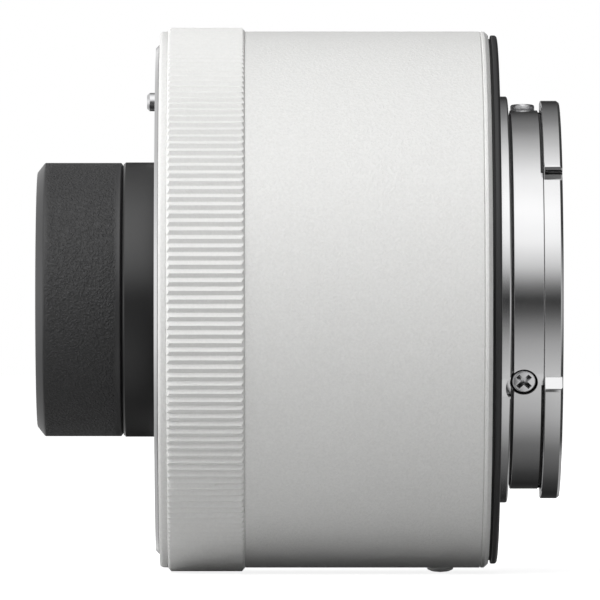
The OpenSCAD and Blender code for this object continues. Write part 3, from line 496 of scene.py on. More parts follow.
def set_along(piece, clock, radius, spin=0.0):
    """Moves a piece made along X to a clock angle and a radius, turned by spin round its own X."""
    y, z = clock_point(clock, radius)
    turn = Matrix.Rotation(math.radians(spin), 4, "X")
    piece.matrix_world = Matrix.Translation((0, y * MM, z * MM)) @ turn
    apply_place(piece)


def copy_of(piece, name):
    """A copy of a piece with a mesh of its own."""
    twin = piece.copy()
    twin.data = piece.data.copy()
    twin.name = name
    twin.data.name = name
    bpy.context.scene.collection.objects.link(twin)
    return twin


def combine(piece, other, operation):
    """Joins another piece to a piece, or cuts it out of it."""
    boolean = piece.modifiers.new("Combine", "BOOLEAN")
    boolean.operation = operation
    boolean.solver = "EXACT"
    boolean.object = other
    bpy.ops.object.select_all(action="DESELECT")
    bpy.context.view_layer.objects.active = piece
    bpy.ops.object.modifier_apply(modifier=boolean.name)
    bpy.data.objects.remove(other)


def soften(piece, width, angle):
    """Rounds the edges of a piece that are sharper than an angle in degrees, by a width in millimetres."""
    bevel = piece.modifiers.new("Soften", "BEVEL")
    bevel.width = width * MM
    bevel.segments = 3
    bevel.limit_method = "ANGLE"
    bevel.angle_limit = math.radians(angle)
    bpy.context.view_layer.objects.active = piece
    bpy.ops.object.modifier_apply(modifier=bevel.name)


def hand_over(piece, slot, *replaced, body=BODY, finish=None):
    """Shades a finished piece, gives it its finish and sets it on its body in place of CAD nodes."""
    bpy.ops.object.select_all(action="DESELECT")
    piece.select_set(True)
    bpy.context.view_layer.objects.active = piece
    bpy.ops.object.shade_smooth_by_angle(angle=SMOOTH_ANGLE)
    shading = piece.modifiers.new("Even shading", "WEIGHTED_NORMAL")
    shading.keep_sharp = True
    bpy.ops.object.modifier_apply(modifier=shading.name)
    piece.data.materials.clear()
    piece.data.materials.append(FINISHES[finish or slot])
    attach(piece, body)
    if replaced:
        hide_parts(*replaced)


# Shell


def barrel_shell():
    """White barrel with a slot for the release's stem and a seat for the index dot."""
    front, rear, r = span("main_barrel")
    wall = 1.65
    rabbet = (rear - 1.5, r - 0.95)
    piece = turned("barrel_shell", [
        (front, r - wall),
        (front, r, 0.12),
        (rear, r, 0.15),
        (rear, rabbet[1]),
        rabbet,
        (rabbet[0], r - wall),
    ])
    knob_front, knob_rear, _ = span("release_knob")
    half, inside, outside = STEM_HALF + 0.08, r - 4, r + 3
    slot = prism("knob_slot", [(-half, inside), (half, inside), (half, outside), (-half, outside)],
                 knob_front + STEM_SETBACK - 0.1, knob_rear)
    slot.rotation_euler = (math.radians(LOCK_CLOCK), 0, 0)
    apply_place(slot)
    combine(piece, slot, "DIFFERENCE")
    low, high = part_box("index_mark")
    seat_r = 1.52
    seat = turned("index_seat", [(r - 0.2, 0), (r - 0.2, seat_r), (r + 2, seat_r), (r + 2, 0)], steps=64)
    set_radially(seat, (low.x + high.x) / 2 / MM, 180)
    combine(piece, seat, "DIFFERENCE")
    hand_over(piece, "white_paint", "main_barrel")


def front_band():
    """Plain white band in front of the grip, which runs on under it."""
    front, rear, r = span("front_cover")
    grip_front = span("grip_ring")[0]
    plate_r = span("front_mount")[2] + 0.1
    sleeve_r, inner_r = r - 0.825, r - 1.65
    lip_rear = front + 1.1
    piece = turned("front_band", [
        (front, plate_r, 0.12),
        (front, r - 0.2, 0.16),
        (front + 0.3, r - 0.03, 0.5),
        (grip_front, r, 0.08),
        (grip_front, sleeve_r),
        (rear, sleeve_r),
        (rear, inner_r),
        (lip_rear, inner_r),
        (lip_rear, plate_r),
    ])
    hand_over(piece, "white_paint", "front_cover")


def rear_bevel_ring():
    """White ring with a bevel behind the barrel, on a spigot that goes into it."""
    spigot, rear, r = span("rear_bezel")
    front = span("main_barrel")[1]
    inner_r, spigot_r = r - 1.65, r - 1.05
    piece = turned("rear_bevel_ring", [
        (spigot, inner_r),
        (spigot, spigot_r),
        (front, spigot_r),
        (front, r, 0.14),
        (rear - 0.45, r, 0.1),
        (rear, r - 0.4, 0.06),
        (rear, inner_r),
    ])
    hand_over(piece, "white_paint", "rear_bezel")


def rear_rubber_ring():
    """Rubber ring with a shadow groove between it and the white ring."""
    foot, rear, r = span("rear_seal")
    front = span("rear_bezel")[1]
    inner_r = span("rear_mount")[2] + 0.1
    foot_r = span("main_barrel")[2] - 1.75
    groove_depth, groove_rear = 0.4, front + 0.3
    piece = turned("rear_rubber_ring", [
        (foot, inner_r),
        (foot, foot_r),
        (front, foot_r),
        (front, r - groove_depth),
        (groove_rear, r - groove_depth),
        (groove_rear, r, 0.1),
        (rear, r, 0.3),
        (rear, inner_r, 0.08),
    ])
    hand_over(piece, "seal_rubber", "rear_seal")


def ribbed_grip():
    """Grip ring with ridges: one ridge is modelled, and copied round the axis."""
    front, rear, crest = span("grip_ring")
    depth, bevel = 0.3, 0.38
    half = math.pi / RIB_COUNT
    valley = crest - depth
    low = span("main_barrel")[2] + 0.02
    inner = span("front_cover")[2] - 0.725
    # One ridge from valley to valley: the angle from its crest, and the radius
    section = [
        (-half, valley), (-0.9 * half, valley + 0.01), (-0.8 * half, valley + 0.045),
        (-0.1 * half, crest - 0.02), (0, crest - 0.008), (0.1 * half, crest - 0.02),
        (0.8 * half, valley + 0.045), (0.9 * half, valley + 0.01), (half, valley),
    ]
    points = [(0, -r * math.sin(a), r * math.cos(a)) for a, r in section]
    piece = start_at("ribbed_grip", front - 1, points[0][1], points[0][2])
    for a, b in zip(points, points[1:]):
        draw_to([q - p for p, q in zip(a, b)])
    bpy.ops.mesh.select_all(action="SELECT")
    move = {"value": ((rear - front + 2) * MM, 0, 0)}
    bpy.ops.mesh.extrude_region_move(TRANSFORM_OT_translate=move)
    slope = math.atan2(bevel, crest + 0.03 - low)
    for end, side in ((front, -1), (rear, 1)):
        bpy.ops.mesh.select_all(action="SELECT")
        bpy.ops.mesh.bisect(plane_co=(end * MM, 0, low * MM),
                            plane_no=(side * math.cos(slope), 0, math.sin(slope)), clear_outer=True)
        bpy.ops.mesh.extrude_edges_move()
        bpy.ops.transform.resize(value=(0, 1, 0), center_override=(end * MM, 0, low * MM))
        bpy.ops.mesh.extrude_edges_move()
        shrink = inner / low
        bpy.ops.transform.resize(value=(1, shrink, shrink), center_override=(0, 0, 0))
    bpy.ops.mesh.select_all(action="SELECT")
    bpy.ops.mesh.spin(steps=RIB_COUNT - 1, dupli=True, angle=math.tau * (RIB_COUNT - 1) / RIB_COUNT,
                      center=(0, 0, 0), axis=(1, 0, 0))
    close_mesh()
    hand_over(piece, "white_paint", "grip_ring", finish="white_ribs")


def index_bar():
    """Bar that fills one groove of the grip, where a lens lines up."""
    front, rear, crest = span("grip_ring")
    step = 360 / RIB_COUNT
    clock = (math.ceil(INDEX_BAR_CLOCK / step) + 0.5) * step
    bar_rear = front + 0.62 * (rear - front)
    foot, top = crest - 0.36, crest - 0.07
    width = 0.72 * step
    piece = turned("index_bar", [
        (front + 0.12, foot),
        (front + 0.42, top, 0.1),
        (bar_rear, top, 0.05),
        (bar_rear, foot),
    ], steps=8, clock=clock - width / 2, width=width)
    hand_over(piece, "white_paint", "grip_ring", finish="white_ribs")


def index_dot():
    """Round bump under the barrel, where the camera's own mark lines up."""
    low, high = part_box("index_mark")
    barrel_r = span("main_barrel")[2]
    head = (high.x - low.x) / 2 / MM
    top = -low.z / MM
    dome = 0.34
    piece = turned("index_dot", [
        (barrel_r - 0.2, 0),
        (barrel_r - 0.2, head),
        (top - dome, head, 0.12),
        (top - dome * 0.25, head * 0.62, 1.2),
        (top, 0),
    ], steps=64)
    set_radially(piece, (low.x + high.x) / 2 / MM, 180)
    hand_over(piece, "white_plastic", "index_mark")


def nose_shell():
    """Black nose: a bevelled front edge, a grained side and a groove at its rear edge."""
    front, spigot_rear, r = span("nose_cap")
    collar_front = span("lens_barrel")[0]
    rear = collar_front - 0.28
    bore = span("lens_1")[2] + 0.1
    spigot_r = (r + bore) / 2
    lip_r = bore - 0.8
    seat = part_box("lens_1")[0].x / MM + 1.3
    piece = turned("nose_shell", [
        (front, bore + 0.25, 0.12),
        (front, r - 1.1, 0.15),
        (front + 0.86, r, 0.3),
        (rear, r, 0.1),
        (collar_front - 0.02, r - 0.34),
        (collar_front - 0.02, spigot_r),
        (spigot_rear, spigot_r),
        (spigot_rear, bore),
        (seat, bore),
        (seat, lip_r, 0.05),
        (seat - 0.4, lip_r, 0.1),
    ])
    hand_over(piece, "black_grain", "nose_cap")


# Mounts

# Radii and places along X of the rear bayonet's collar, neck and lugs. Lug slopes are in degrees
COLLAR_R, COLLAR_REAR = 23.0, 1.28
NECK_R, NECK_IN_R = 21.43, 20.0
LUG_R, LUG_FRONT, LUG_SLOPE = 22.51, 5.02, 2.7
# First clock angle and width of each rear lug and of each front tab, in degrees
LUGS = [(-7, 55.7), (116.4, 67.6), (228, 64)]
TABS = [(4, 40), (138, 39), (248, 40)]
# Rear chamfer of the neck and lugs, relief behind the collar, and groove in front of each lug
REAR_CHAMFER_X, REAR_CHAMFER_R = 0.3, 0.22
RELIEF_WIDTH, RELIEF_DEPTH = 0.34, 0.5
GROOVE_WIDTH, GROOVE_DEPTH = 0.32, 0.4
# Clock angle, x and seat radius of each neck screw: the first stands on the neck, the others are let in
NECK_SCREWS = [(-5, 3.1, 21.3), (115.5, 2.75, 20.42), (235, 2.8, 20.42)]
NECK_SCREW_HEIGHT = 0.85
REAR_SCREW_CIRCLE, FRONT_SCREW_CIRCLE = 26.0, 26.575
MOUNT_SCREW_CLOCKS = [75, 165, 255, 345]


def lug(number, clock, width, rear):
    """One bayonet lug with a slope at each end."""
    foot_r = NECK_R - 0.3
    last = clock + width
    outline = [clock_point(clock - LUG_SLOPE, foot_r), clock_point(clock - LUG_SLOPE, NECK_R)]
    arc_steps = round(width)
    outline += [clock_point(clock + width * k / arc_steps, LUG_R) for k in range(arc_steps + 1)]
    outline += [clock_point(last + LUG_SLOPE, NECK_R), clock_point(last + LUG_SLOPE, foot_r)]
    outline += [clock_point(last - width * k / arc_steps, foot_r) for k in range(arc_steps + 1)]
    piece = prism(f"lug_{number}", outline, LUG_FRONT, rear - 0.02)
    soften(piece, 0.13, angle=35)
    return piece


def flat_screw_cutter(face, side):
    """Countersunk hole for a mount screw. Side 1 has its tip towards +X."""
    head_r, shank_r, gap, depth = 1.62, 0.82, 0.08, 4.8
    return turned("flat_screw_cutter", [
        (face - side, 0),
        (face - side, head_r + gap),
        (face + side * 0.02, head_r + gap),
        (face + side * 0.28, head_r),
        (face + side * 0.95, shank_r),
        (face + side * depth, shank_r),
        (face + side * depth, 0),
    ], steps=48)


def rear_bayonet():
    """Bright rear mount: flange, collar, neck with a relief groove, three lugs and the screw seats."""
    flange_front, rear, flange_r = span("rear_mount")
    piece = turned("rear_bayonet", [
        (flange_front, NECK_IN_R),
        (flange_front, flange_r),
        (0, flange_r, 0.12),
        (0, COLLAR_R, 0.04),
        (COLLAR_REAR, COLLAR_R, 0.2),
        (COLLAR_REAR, NECK_R - RELIEF_DEPTH),
        (COLLAR_REAR + RELIEF_WIDTH, NECK_R - RELIEF_DEPTH),
        (COLLAR_REAR + RELIEF_WIDTH, NECK_R, 0.06),
        (LUG_FRONT - 0.08, NECK_R, 0.02),
        (LUG_FRONT - 0.02, NECK_R - 0.07),
        (LUG_FRONT + 0.04, NECK_R, 0.02),
        (rear - REAR_CHAMFER_X, NECK_R, 0.05),
        (rear, NECK_R - REAR_CHAMFER_R, 0.04),
        (rear, NECK_IN_R, 0.15),
    ])
    for number, (clock, width) in enumerate(LUGS, 1):
        combine(piece, lug(number, clock, width, rear), "UNION")
        groove = turned("lug_groove", [
            (LUG_FRONT - GROOVE_WIDTH, NECK_R - GROOVE_DEPTH),
            (LUG_FRONT + 0.005, NECK_R - GROOVE_DEPTH),
            (LUG_FRONT + 0.005, NECK_R + GROOVE_DEPTH),
            (LUG_FRONT - GROOVE_WIDTH, NECK_R + GROOVE_DEPTH),
        ], steps=64, clock=clock, width=width)
        combine(piece, groove, "DIFFERENCE")
    lug_chamfer = turned("lug_chamfer", [
        (rear - REAR_CHAMFER_X, LUG_R),
        (rear + 2 * REAR_CHAMFER_X, LUG_R - 3 * REAR_CHAMFER_R),
        (rear + 2 * REAR_CHAMFER_X, LUG_R + 1),
        (rear - REAR_CHAMFER_X, LUG_R + 1),
    ])
    combine(piece, lug_chamfer, "DIFFERENCE")
    half, floor_r, outside = 0.19, NECK_R + 0.1, LUG_R + 1
    stop_slot = prism("stop_slot", [(-half, floor_r), (half, floor_r), (half, outside), (-half, outside)],
                      LUG_FRONT + 0.15, rear + 1)
    stop_slot.rotation_euler = (math.radians(LUGS[0][0] + LUGS[0][1] + 0.42 * LUG_SLOPE), 0, 0)
    apply_place(stop_slot)
    combine(piece, stop_slot, "DIFFERENCE")
    shank_r, head_r, clear_r = 0.8, 1.56, 2.05
    for clock, x, seat_r in NECK_SCREWS:
        step_r = max(NECK_R + 0.04, seat_r + 0.1)
        seat = turned("neck_screw_seat", [
            (NECK_IN_R - 2, 0), (NECK_IN_R - 2, shank_r), (seat_r, shank_r), (seat_r, head_r),
            (step_r, head_r), (step_r, clear_r), (NECK_R + 4, clear_r), (NECK_R + 4, 0),
        ], steps=64)
        set_radially(seat, x, clock)
        combine(piece, seat, "DIFFERENCE")
    for clock in MOUNT_SCREW_CLOCKS:
        hole = flat_screw_cutter(0, -1)
        set_along(hole, clock, REAR_SCREW_CIRCLE)
        combine(piece, hole, "DIFFERENCE")
    depth, hole_r = 1.3, 1.2
    lock_hole = turned("lock_hole", [
        (-depth, 0), (-depth, hole_r), (-0.12, hole_r), (0.3, hole_r + 0.42), (0.3, 0),
    ], steps=48)
    set_along(lock_hole, LOCK_CLOCK, LOCK_CIRCLE)
    combine(piece, lock_hole, "DIFFERENCE")
    hand_over(piece, "mount_metal", "rear_mount")


def lens_mount_plate():
    """Bright front plate with a throat, three inner tabs, screw seats and the lock pin's hole."""
    front, rear, plate_r = span("front_mount")
    plate_rear = front + 1.5
    throat_r, throat_out_r, tab_r = 23.05, 24.35, 21.75
    tab_front, tab_rear = front + 1.6, rear - 0.2
    chamfer, pin_r = 0.36, 1.13
    piece = turned("lens_mount_plate", [
        (front, throat_r + 0.25, 0.05),
        (front, plate_r - chamfer, 0.05),
        (front + chamfer, plate_r, 0.05),
        (plate_rear, plate_r),
        (plate_rear, throat_out_r),
        (rear, throat_out_r, 0.1),
        (rear, throat_r, 0.05),
        (front + 0.25, throat_r, 0.05),
    ])
    for number, (clock, width) in enumerate(TABS, 1):
        tab = turned(f"tab_{number}", [
            (tab_front, tab_r),
            (tab_rear, tab_r),
            (tab_rear, throat_r + 0.4),
            (tab_front, throat_r + 0.4),
        ], steps=48, clock=clock, width=width)
        soften(tab, 0.16, angle=50)
        combine(piece, tab, "UNION")
    for clock in MOUNT_SCREW_CLOCKS:
        hole = flat_screw_cutter(front, 1)
        set_along(hole, clock, FRONT_SCREW_CIRCLE)
        combine(piece, hole, "DIFFERENCE")
    pin_hole = turned("pin_hole", [
        (front - 1, 0), (front - 1, pin_r + 0.17), (front + 0.02, pin_r + 0.17), (front + 0.18, pin_r),
        (plate_rear + 1, pin_r), (plate_rear + 1, 0),
    ], steps=48)
    set_along(pin_hole, LOCK_CLOCK, LOCK_CIRCLE)
    combine(piece, pin_hole, "DIFFERENCE")
    hand_over(piece, "mount_metal", "front_mount")


def cross_cutter(top, length, width, depth, tip):
    """Cross recess for a screw whose head ends at x = top. Tip is the way the screw points."""
    half_l, half_w = length / 2, width / 2
    outline = []
    for quarter in range(4):
        a = math.radians(90 * quarter)
        for y, z in ((half_w, half_w), (half_l, half_w), (half_l, -half_w)):
            outline.append((y * math.cos(a) + z * math.sin(a), -y * math.sin(a) + z * math.cos(a)))
    return prism("cross_cutter", outline, top - tip * 0.05, top + tip * depth, taper=0.85)


def flat_screws(node, face, side, circle):
    """Countersunk cross screws of a mount, modelled once and copied."""
    top = face + side * 0.08
    head_r, shank_r, length = 1.5, 0.7, 4.52
    screw = turned("flat_screw", [
        (top, 0),
        (top, head_r, 0.07),
        (top + side * 0.15, head_r),
        (top + side * 0.8, shank_r),
        (top + side * length, shank_r, 0.2),
        (top + side * length, 0),
    ], steps=48)
    combine(screw, cross_cutter(top, 1.9, 0.42, 0.5, side), "DIFFERENCE")
    for number, clock in enumerate(MOUNT_SCREW_CLOCKS, 1):
        piece = copy_of(screw, f"{node[:-1]}_{number}")
        set_along(piece, clock, circle, spin=clock * 1.7)
        hand_over(piece, "screw_steel", node)
    bpy.data.objects.remove(screw)


def neck_screws():
    """Cross screws set into the neck of the rear bayonet, modelled once and copied."""
    length, head_r, shank_r = 2.65, 1.36, 0.68
    screw = turned("neck_screw", [
        (-length, 0),
        (-length, shank_r, 0.2),
        (0, shank_r),
        (0, head_r, 0.06),
        (NECK_SCREW_HEIGHT, head_r, 0.2),
        (NECK_SCREW_HEIGHT, 0),
    ], steps=64)
    combine(screw, cross_cutter(NECK_SCREW_HEIGHT, 2.0, 0.54, 0.65, -1), "DIFFERENCE")
    for number, (clock, x, seat_r) in enumerate(NECK_SCREWS, 1):
        piece = copy_of(screw, f"neck_screw_{number}")
        piece.location.x = seat_r * MM
        piece.rotation_euler.x = math.radians(45)
        apply_place(piece)
        set_radially(piece, x, clock)
        hand_over(piece, "screw_steel", "neck_screws")
    bpy.data.objects.remove(screw)


# Lock, release and contacts

# Count, spacing in degrees and radius of the sprung contacts
CONTACT_COUNT, CONTACT_STEP, CONTACT_CIRCLE = 10, 5.8, 18.1
# Sides of a spring's wire, and steps in each of its turns
WIRE_SIDES, TURN_STEPS = 10, 24


def lock_pin():
    """Steel pin that locks the lens, with a collar that its spring bears on."""
    low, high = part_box("lock_pin")
    tip, rear = low.x / MM, high.x / MM
    collar_front, collar_rear = -34.55, -33.9
    pin_r, collar_r, guide_r = 1.05, 1.25, 0.6
    piece = turned("lock_pin_steel", [
        (tip, 0),
        (tip, pin_r - 0.27, 0.1),
        (tip + 0.3, pin_r, 0.12),
        (collar_front, pin_r),
        (collar_front, collar_r, 0.08),
        (collar_rear, collar_r, 0.08),
        (collar_rear, guide_r),
        (rear, guide_r, 0.15),
        (rear, 0),
    ], steps=64)
    set_along(piece, LOCK_CLOCK, LOCK_CIRCLE)
    hand_over(piece, "screw_steel", "lock_pin", body="lock")


def release_button():
    """Sliding release with cross grooves, on a stem that goes through the barrel."""
    front, rear, _ = span("release_knob")
    barrel_r = span("main_barrel")[2]
    foot, top = barrel_r + 0.08, barrel_r + 1.3
    length, half_width = rear - front, 3.6
    groove = top - 0.42
    outline = [(front, foot, 0.06), (front, top, 0.35)]
    for k in range(4):
        x = front + length * (0.23 + 0.18 * k)
        outline += [(x - 0.36, top, 0.1), (x - 0.26, groove, 0.14), (x + 0.26, groove, 0.14),
                    (x + 0.36, top, 0.1)]
    outline += [(rear, top, 0.35), (rear, foot, 0.06)]
    half = math.degrees(math.asin(half_width / top))
    piece = turned("release_button", outline, steps=32, clock=LOCK_CLOCK - half, width=2 * half)
    soften(piece, 0.22, angle=60)
    stem_foot, stem_top = 28.36, foot + 0.3
    stem = prism("release_stem", [(-STEM_HALF, stem_foot), (STEM_HALF, stem_foot),
                                  (STEM_HALF, stem_top), (-STEM_HALF, stem_top)],
                 front + STEM_SETBACK, rear - STEM_SETBACK)
    stem.rotation_euler = (math.radians(LOCK_CLOCK), 0, 0)
    apply_place(stem)
    combine(piece, stem, "UNION")
    hand_over(piece, "knob_metal", "release_knob", body="release")


def coil(name, front, rear, coil_r, wire_r, turns):
    """Wound spring along X round the origin, with closed wire ends."""
    bpy.ops.object.select_all(action="DESELECT")
    bpy.ops.mesh.primitive_circle_add(vertices=WIRE_SIDES, radius=wire_r * MM,
                                      rotation=(math.pi / 2, 0, 0))
    piece = bpy.context.object
    piece.name = name
    piece.data.name = name
    piece.location = ((front + wire_r) * MM, 0, coil_r * MM)
    apply_place(piece)
    winding = piece.modifiers.new("Winding", "SCREW")
    winding.axis = "X"
    winding.angle = math.tau * turns
    winding.screw_offset = (rear - front - 2 * wire_r) * MM
    winding.steps = round(TURN_STEPS * turns)
    winding.render_steps = winding.steps
    winding.use_merge_vertices = False
    bpy.ops.object.modifier_apply(modifier=winding.name)
    bpy.ops.object.mode_set(mode="EDIT")
    bpy.ops.mesh.select_all(action="DESELECT")
    bpy.ops.mesh.select_non_manifold()
    bpy.ops.mesh.fill_holes(sides=0)
    close_mesh()
    return piece


def lock_spring():
    """Wound spring behind the lock pin."""
    low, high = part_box("lock_pin_spring")
    front, rear = low.x / MM, high.x / MM
    piece = coil("lock_spring_wire", front, rear, 1.0, 0.14, 4.5)
    set_along(piece, LOCK_CLOCK, LOCK_CIRCLE)
    hand_over(piece, "spring_steel", "lock_pin_spring")
    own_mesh(piece)


def contact_springs():
    """Wound springs behind the contact pins, modelled once and copied."""
    low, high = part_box("contact_springs")
    front, rear = low.x / MM, high.x / MM
    spring = coil("contact_spring", front, rear, 0.52, 0.09, 5.5)
    for number in range(CONTACT_COUNT):
        piece = copy_of(spring, f"contact_spring_{number + 1}")
        set_along(piece, (number - (CONTACT_COUNT - 1) / 2) * CONTACT_STEP, CONTACT_CIRCLE)
        hand_over(piece, "spring_steel", "contact_springs")
        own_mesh(piece)
    bpy.data.objects.remove(spring)


# Stage, light and camera

CAMERA_DISTANCE = 1.173
CAMERA_X = -26.76 * MM
AIM = Vector((-22.12 * MM, 0, -0.05 * MM))
# Focal length in widths of the photograph, which has 600 pixels, and the sensor's width in millimetres
PHOTO_FOCUS = 10357 / 600
SENSOR_WIDTH = 36


def camera():
    """Camera at the photograph's place."""
    data = bpy.data.cameras.new("camera")
    data.sensor_width = SENSOR_WIDTH
    data.lens = SENSOR_WIDTH * PHOTO_FOCUS
    holder = bpy.data.objects.new("camera", data)
    bpy.context.scene.collection.objects.link(holder)
    holder.location = (CAMERA_X, -CAMERA_DISTANCE, 0)
    holder.rotation_euler = (AIM - holder.location).to_track_quat("-Z", "Y").to_euler()
    bpy.context.scene.camera = holder


def seen_directly(tree):
    """1 for camera, glossy and transmission rays, else 0."""
    light_path = tree.nodes.new("ShaderNodeLightPath").outputs
    seen = math_node(tree, "MAXIMUM", light_path["Is Camera Ray"], light_path["Is Glossy Ray"])
    return math_node(tree, "MAXIMUM", seen, light_path["Is Transmission Ray"])


# Brightness of the surroundings from the lens side, 0, to the camera side, 1
AMBIENT_STOPS = [(0, 0.3), (0.25, 0.58), (0.38, 0.74), (0.5, 0.36), (0.6, 0.06), (1, 0.1)]


def world():
    """White where it is seen. Where it only lights, it is soft and brighter on the lens side."""
    surroundings = bpy.data.worlds.new("surroundings")
    bpy.context.scene.world = surroundings
    surroundings.use_nodes = True
    tree = surroundings.node_tree
    tree.nodes.clear()
    way = tree.nodes.new("ShaderNodeTexCoord").outputs["Generated"]
    across = add_node(tree, "ShaderNodeSeparateXYZ", Vector=way).outputs["X"]
    strength = ramp_node(tree, map_range(tree, across, 0.0, 1.0, -1.0, 1.0), AMBIENT_STOPS)
    ambient = add_node(tree, "ShaderNodeBackground", Color=(1, 1, 1, 1), Strength=strength)
    white = add_node(tree, "ShaderNodeBackground", Color=(1, 1, 1, 1), Strength=1.0)
    mix = add_node(tree, "ShaderNodeMixShader", Fac=seen_directly(tree))
    tree.links.new(ambient.outputs[0], mix.inputs[1])
    tree.links.new(white.outputs[0], mix.inputs[2])
    output = tree.nodes.new("ShaderNodeOutputWorld")
    tree.links.new(mix.outputs[0], output.inputs["Surface"])


FLOOR_GREY, FLOOR_GLOW = 0.6, 0.85


def floor():
    """Pale floor that is lifted to white where it is seen, and keeps the object's shadow."""
    bpy.ops.object.select_all(action="DESELECT")
    bpy.ops.mesh.primitive_plane_add(size=6, location=(0, 0, cad_box[0].z))
    ground = bpy.context.object
    ground.name = "floor"
    material = bpy.data.materials.new("floor")
    material.use_nodes = True
    tree = material.node_tree
    tree.nodes.clear()
    matt = add_node(tree, "ShaderNodeBsdfDiffuse", Color=(FLOOR_GREY, FLOOR_GREY, FLOOR_GREY, 1))
    glow = add_node(tree, "ShaderNodeEmission", Color=(1, 1, 1, 1),
                    Strength=math_node(tree, "MULTIPLY", seen_directly(tree), FLOOR_GLOW))
    both = tree.nodes.new("ShaderNodeAddShader")
    tree.links.new(matt.outputs[0], both.inputs[0])
    tree.links.new(glow.outputs[0], both.inputs[1])
    output = tree.nodes.new("ShaderNodeOutputMaterial")
    tree.links.new(both.outputs[0], output.inputs["Surface"])
    ground.data.materials.append(material)
    ground.visible_glossy = False


# Brightness that the metal mirrors, by degrees round the optical axis:
# 0 is level on the camera's side, 90 is straight up and -90 straight down
STUDIO_BANDS = [
    (-180, 0.5), (-168, 0.04), (-150, 0.02), (-130, 0.05), (-96, 0.2), (-70, 0.58), (-48, 0.76), (-25, 0.48),
    (-8, 0.11), (0, 0.03), (8, 0.2), (20, 0.75), (35, 1.15), (55, 1.3), (80, 1.1), (100, 0.7),
    (125, 0.28), (150, 0.1), (162, 0.03), (168, 0.04), (180, 0.5),
]
BAND_PEAK = 1.3
# Brightness of the lens side's screen, as a share of BAND_PEAK, from straight down, 0, to straight up, 1
LENS_SCREEN = [(0, 0.24), (0.2, 0.2), (0.34, 0.45), (0.43, 0.68), (0.58, 0.78), (0.74, 0.5), (1, 0.5)]
DOME_RADIUS = 0.9


# In the next functions x, y and z are the parts of a direction of length 1 from the middle of the dome


def banded(tree, x, y, z):
    """Bands round the optical axis, dimmed low down on the lens side."""
    towards = math_node(tree, "MULTIPLY", y, -1.0)
    angle = math_node(tree, "ARCTAN2", z, towards)
    turn = math_node(tree, "ADD", math_node(tree, "DIVIDE", angle, math.tau), 0.5)
    stops = [((degrees + 180) / 360, grey / BAND_PEAK) for degrees, grey in STUDIO_BANDS]
    bands = ramp_node(tree, turn, stops)
    below = map_range(tree, z, 1.0, 0.0, -0.25, 0.05)
    lens_half = map_range(tree, x, 1.0, 0.0, -0.08, 0.03)
    dim = map_range(tree, math_node(tree, "MULTIPLY", below, lens_half), 1.0, 0.15)
    dimmed = add_node(tree, "ShaderNodeVectorMath", operation="SCALE", Scale=dim)
    tree.links.new(bands, dimmed.inputs[0])
    return dimmed.outputs[0]


def end_screens(tree, x, y, z, far):
    """Screens at the two ends of the optical axis. Far is 1 on the half away from the camera."""
    height = map_range(tree, z, 0.0, 1.0, -1.0, 1.0)
    lens_screen = ramp_node(tree, height, LENS_SCREEN)
    lens_side = math_node(tree, "MAXIMUM", lens_screen, math_node(tree, "MULTIPLY", far, 0.4))
    near_half = map_range(tree, y, 0.45, 0.04, -0.36, -0.16)
    far_half = math_node(tree, "MULTIPLY", map_range(tree, y, 0.04, 0.3, 0.36, 0.5),
                         map_range(tree, z, 1.0, 0.15, 0.0, 0.2))
    aslant = math_node(tree, "MAXIMUM", near_half, far_half)
    straight = map_range(tree, x, 0.0, 0.3, 0.97, 0.99)
    body_side = math_node(tree, "MAXIMUM", aslant, straight)
    return mix_colours(tree, math_node(tree, "GREATER_THAN", x, 0.0), lens_side, body_side)


def towards_ends(tree, x, far):
    """0 round the middle of the dome and 1 towards its two ends, nearer the middle on the far half."""
    lens_end = map_range(tree, x, 1.0, 0.0, -0.46, -0.2)
    body_end = map_range(tree, x, 0.0, 1.0, 0.2, 0.5)
    far_ends = map_range(tree, math_node(tree, "ABSOLUTE", x), 0.0, 1.0, 0.08, 0.24)
    return math_node(tree, "MAXIMUM", math_node(tree, "MAXIMUM", lens_end, body_end),
                     math_node(tree, "MULTIPLY", far, far_ends))


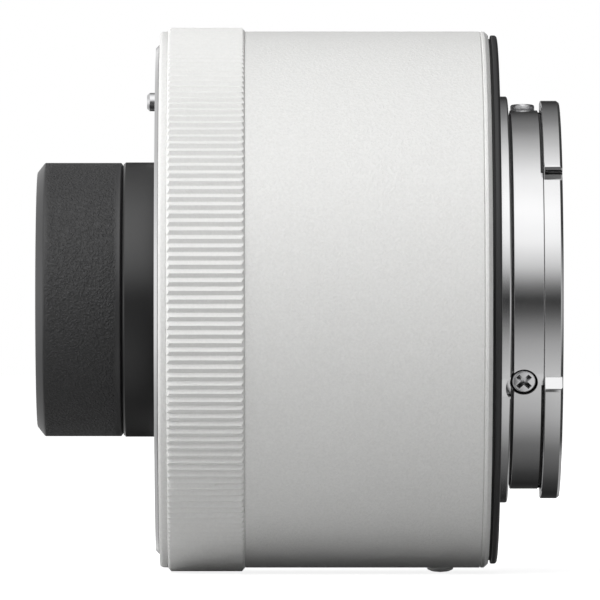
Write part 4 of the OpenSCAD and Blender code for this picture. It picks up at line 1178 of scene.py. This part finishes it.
def studio_dome():
    """Graded screens round the object that only mirror in its polished surfaces."""
    bpy.ops.object.select_all(action="DESELECT")
    bpy.ops.mesh.primitive_uv_sphere_add(segments=96, ring_count=48, radius=DOME_RADIUS)
    dome = bpy.context.object
    dome.name = "studio_dome"
    material = bpy.data.materials.new("studio_dome")
    material.use_nodes = True
    tree = material.node_tree
    tree.nodes.clear()
    place = tree.nodes.new("ShaderNodeTexCoord").outputs["Object"]
    way = add_node(tree, "ShaderNodeVectorMath", operation="NORMALIZE")
    tree.links.new(place, way.inputs[0])
    x, y, z = add_node(tree, "ShaderNodeSeparateXYZ", Vector=way.outputs[0]).outputs
    far = map_range(tree, y, 0.0, 1.0, 0.1, 0.3)
    screens = mix_colours(tree, towards_ends(tree, x, far), banded(tree, x, y, z),
                          end_screens(tree, x, y, z, far))
    glow = add_node(tree, "ShaderNodeEmission", Color=screens, Strength=BAND_PEAK)
    output = tree.nodes.new("ShaderNodeOutputMaterial")
    tree.links.new(glow.outputs[0], output.inputs["Surface"])
    dome.data.materials.append(material)
    dome.visible_camera = False
    dome.visible_diffuse = False
    dome.visible_shadow = False
    dome.visible_transmission = False


def lamp(name, azimuth, elevation, distance, size, power):
    """Soft rectangular lamp aimed at the object. Azimuth 0 stands on the camera's side."""
    data = bpy.data.lights.new(name, "AREA")
    data.shape = "RECTANGLE"
    data.size, data.size_y = size
    data.energy = power
    holder = bpy.data.objects.new(name, data)
    bpy.context.scene.collection.objects.link(holder)
    a, e = math.radians(azimuth), math.radians(elevation)
    way = Vector((math.sin(a) * math.cos(e), -math.cos(a) * math.cos(e), math.sin(e)))
    holder.location = AIM + way * distance
    holder.rotation_euler = (-way).to_track_quat("-Z", "Y").to_euler()
    holder.visible_glossy = False


# Name, azimuth and elevation in degrees, distance and size in metres, and power in watts
LAMPS = [
    ("key", -40, 48, 0.8, (1.0, 0.5), 5.9),
    ("lens_side", -90, -8, 0.6, (0.35, 0.35), 2.5),
    ("far_fill", 160, 18, 0.8, (0.9, 0.5), 1.4),
]


def studio():
    """Surroundings, floor, mirrored screens and lamps."""
    world()
    floor()
    studio_dome()
    for values in LAMPS:
        lamp(*values)


bpy.context.scene.view_settings.view_transform = "Standard"
camera()
studio()
finish_cad_nodes()
barrel_shell()
front_band()
rear_bevel_ring()
rear_rubber_ring()
ribbed_grip()
index_bar()
index_dot()
nose_shell()
rear_bayonet()
lens_mount_plate()
flat_screws("rear_mount_screws", 0, -1, REAR_SCREW_CIRCLE)
flat_screws("front_mount_screws", span("front_mount")[0], 1, FRONT_SCREW_CIRCLE)
neck_screws()
lock_pin()
release_button()
lock_spring()
contact_springs()
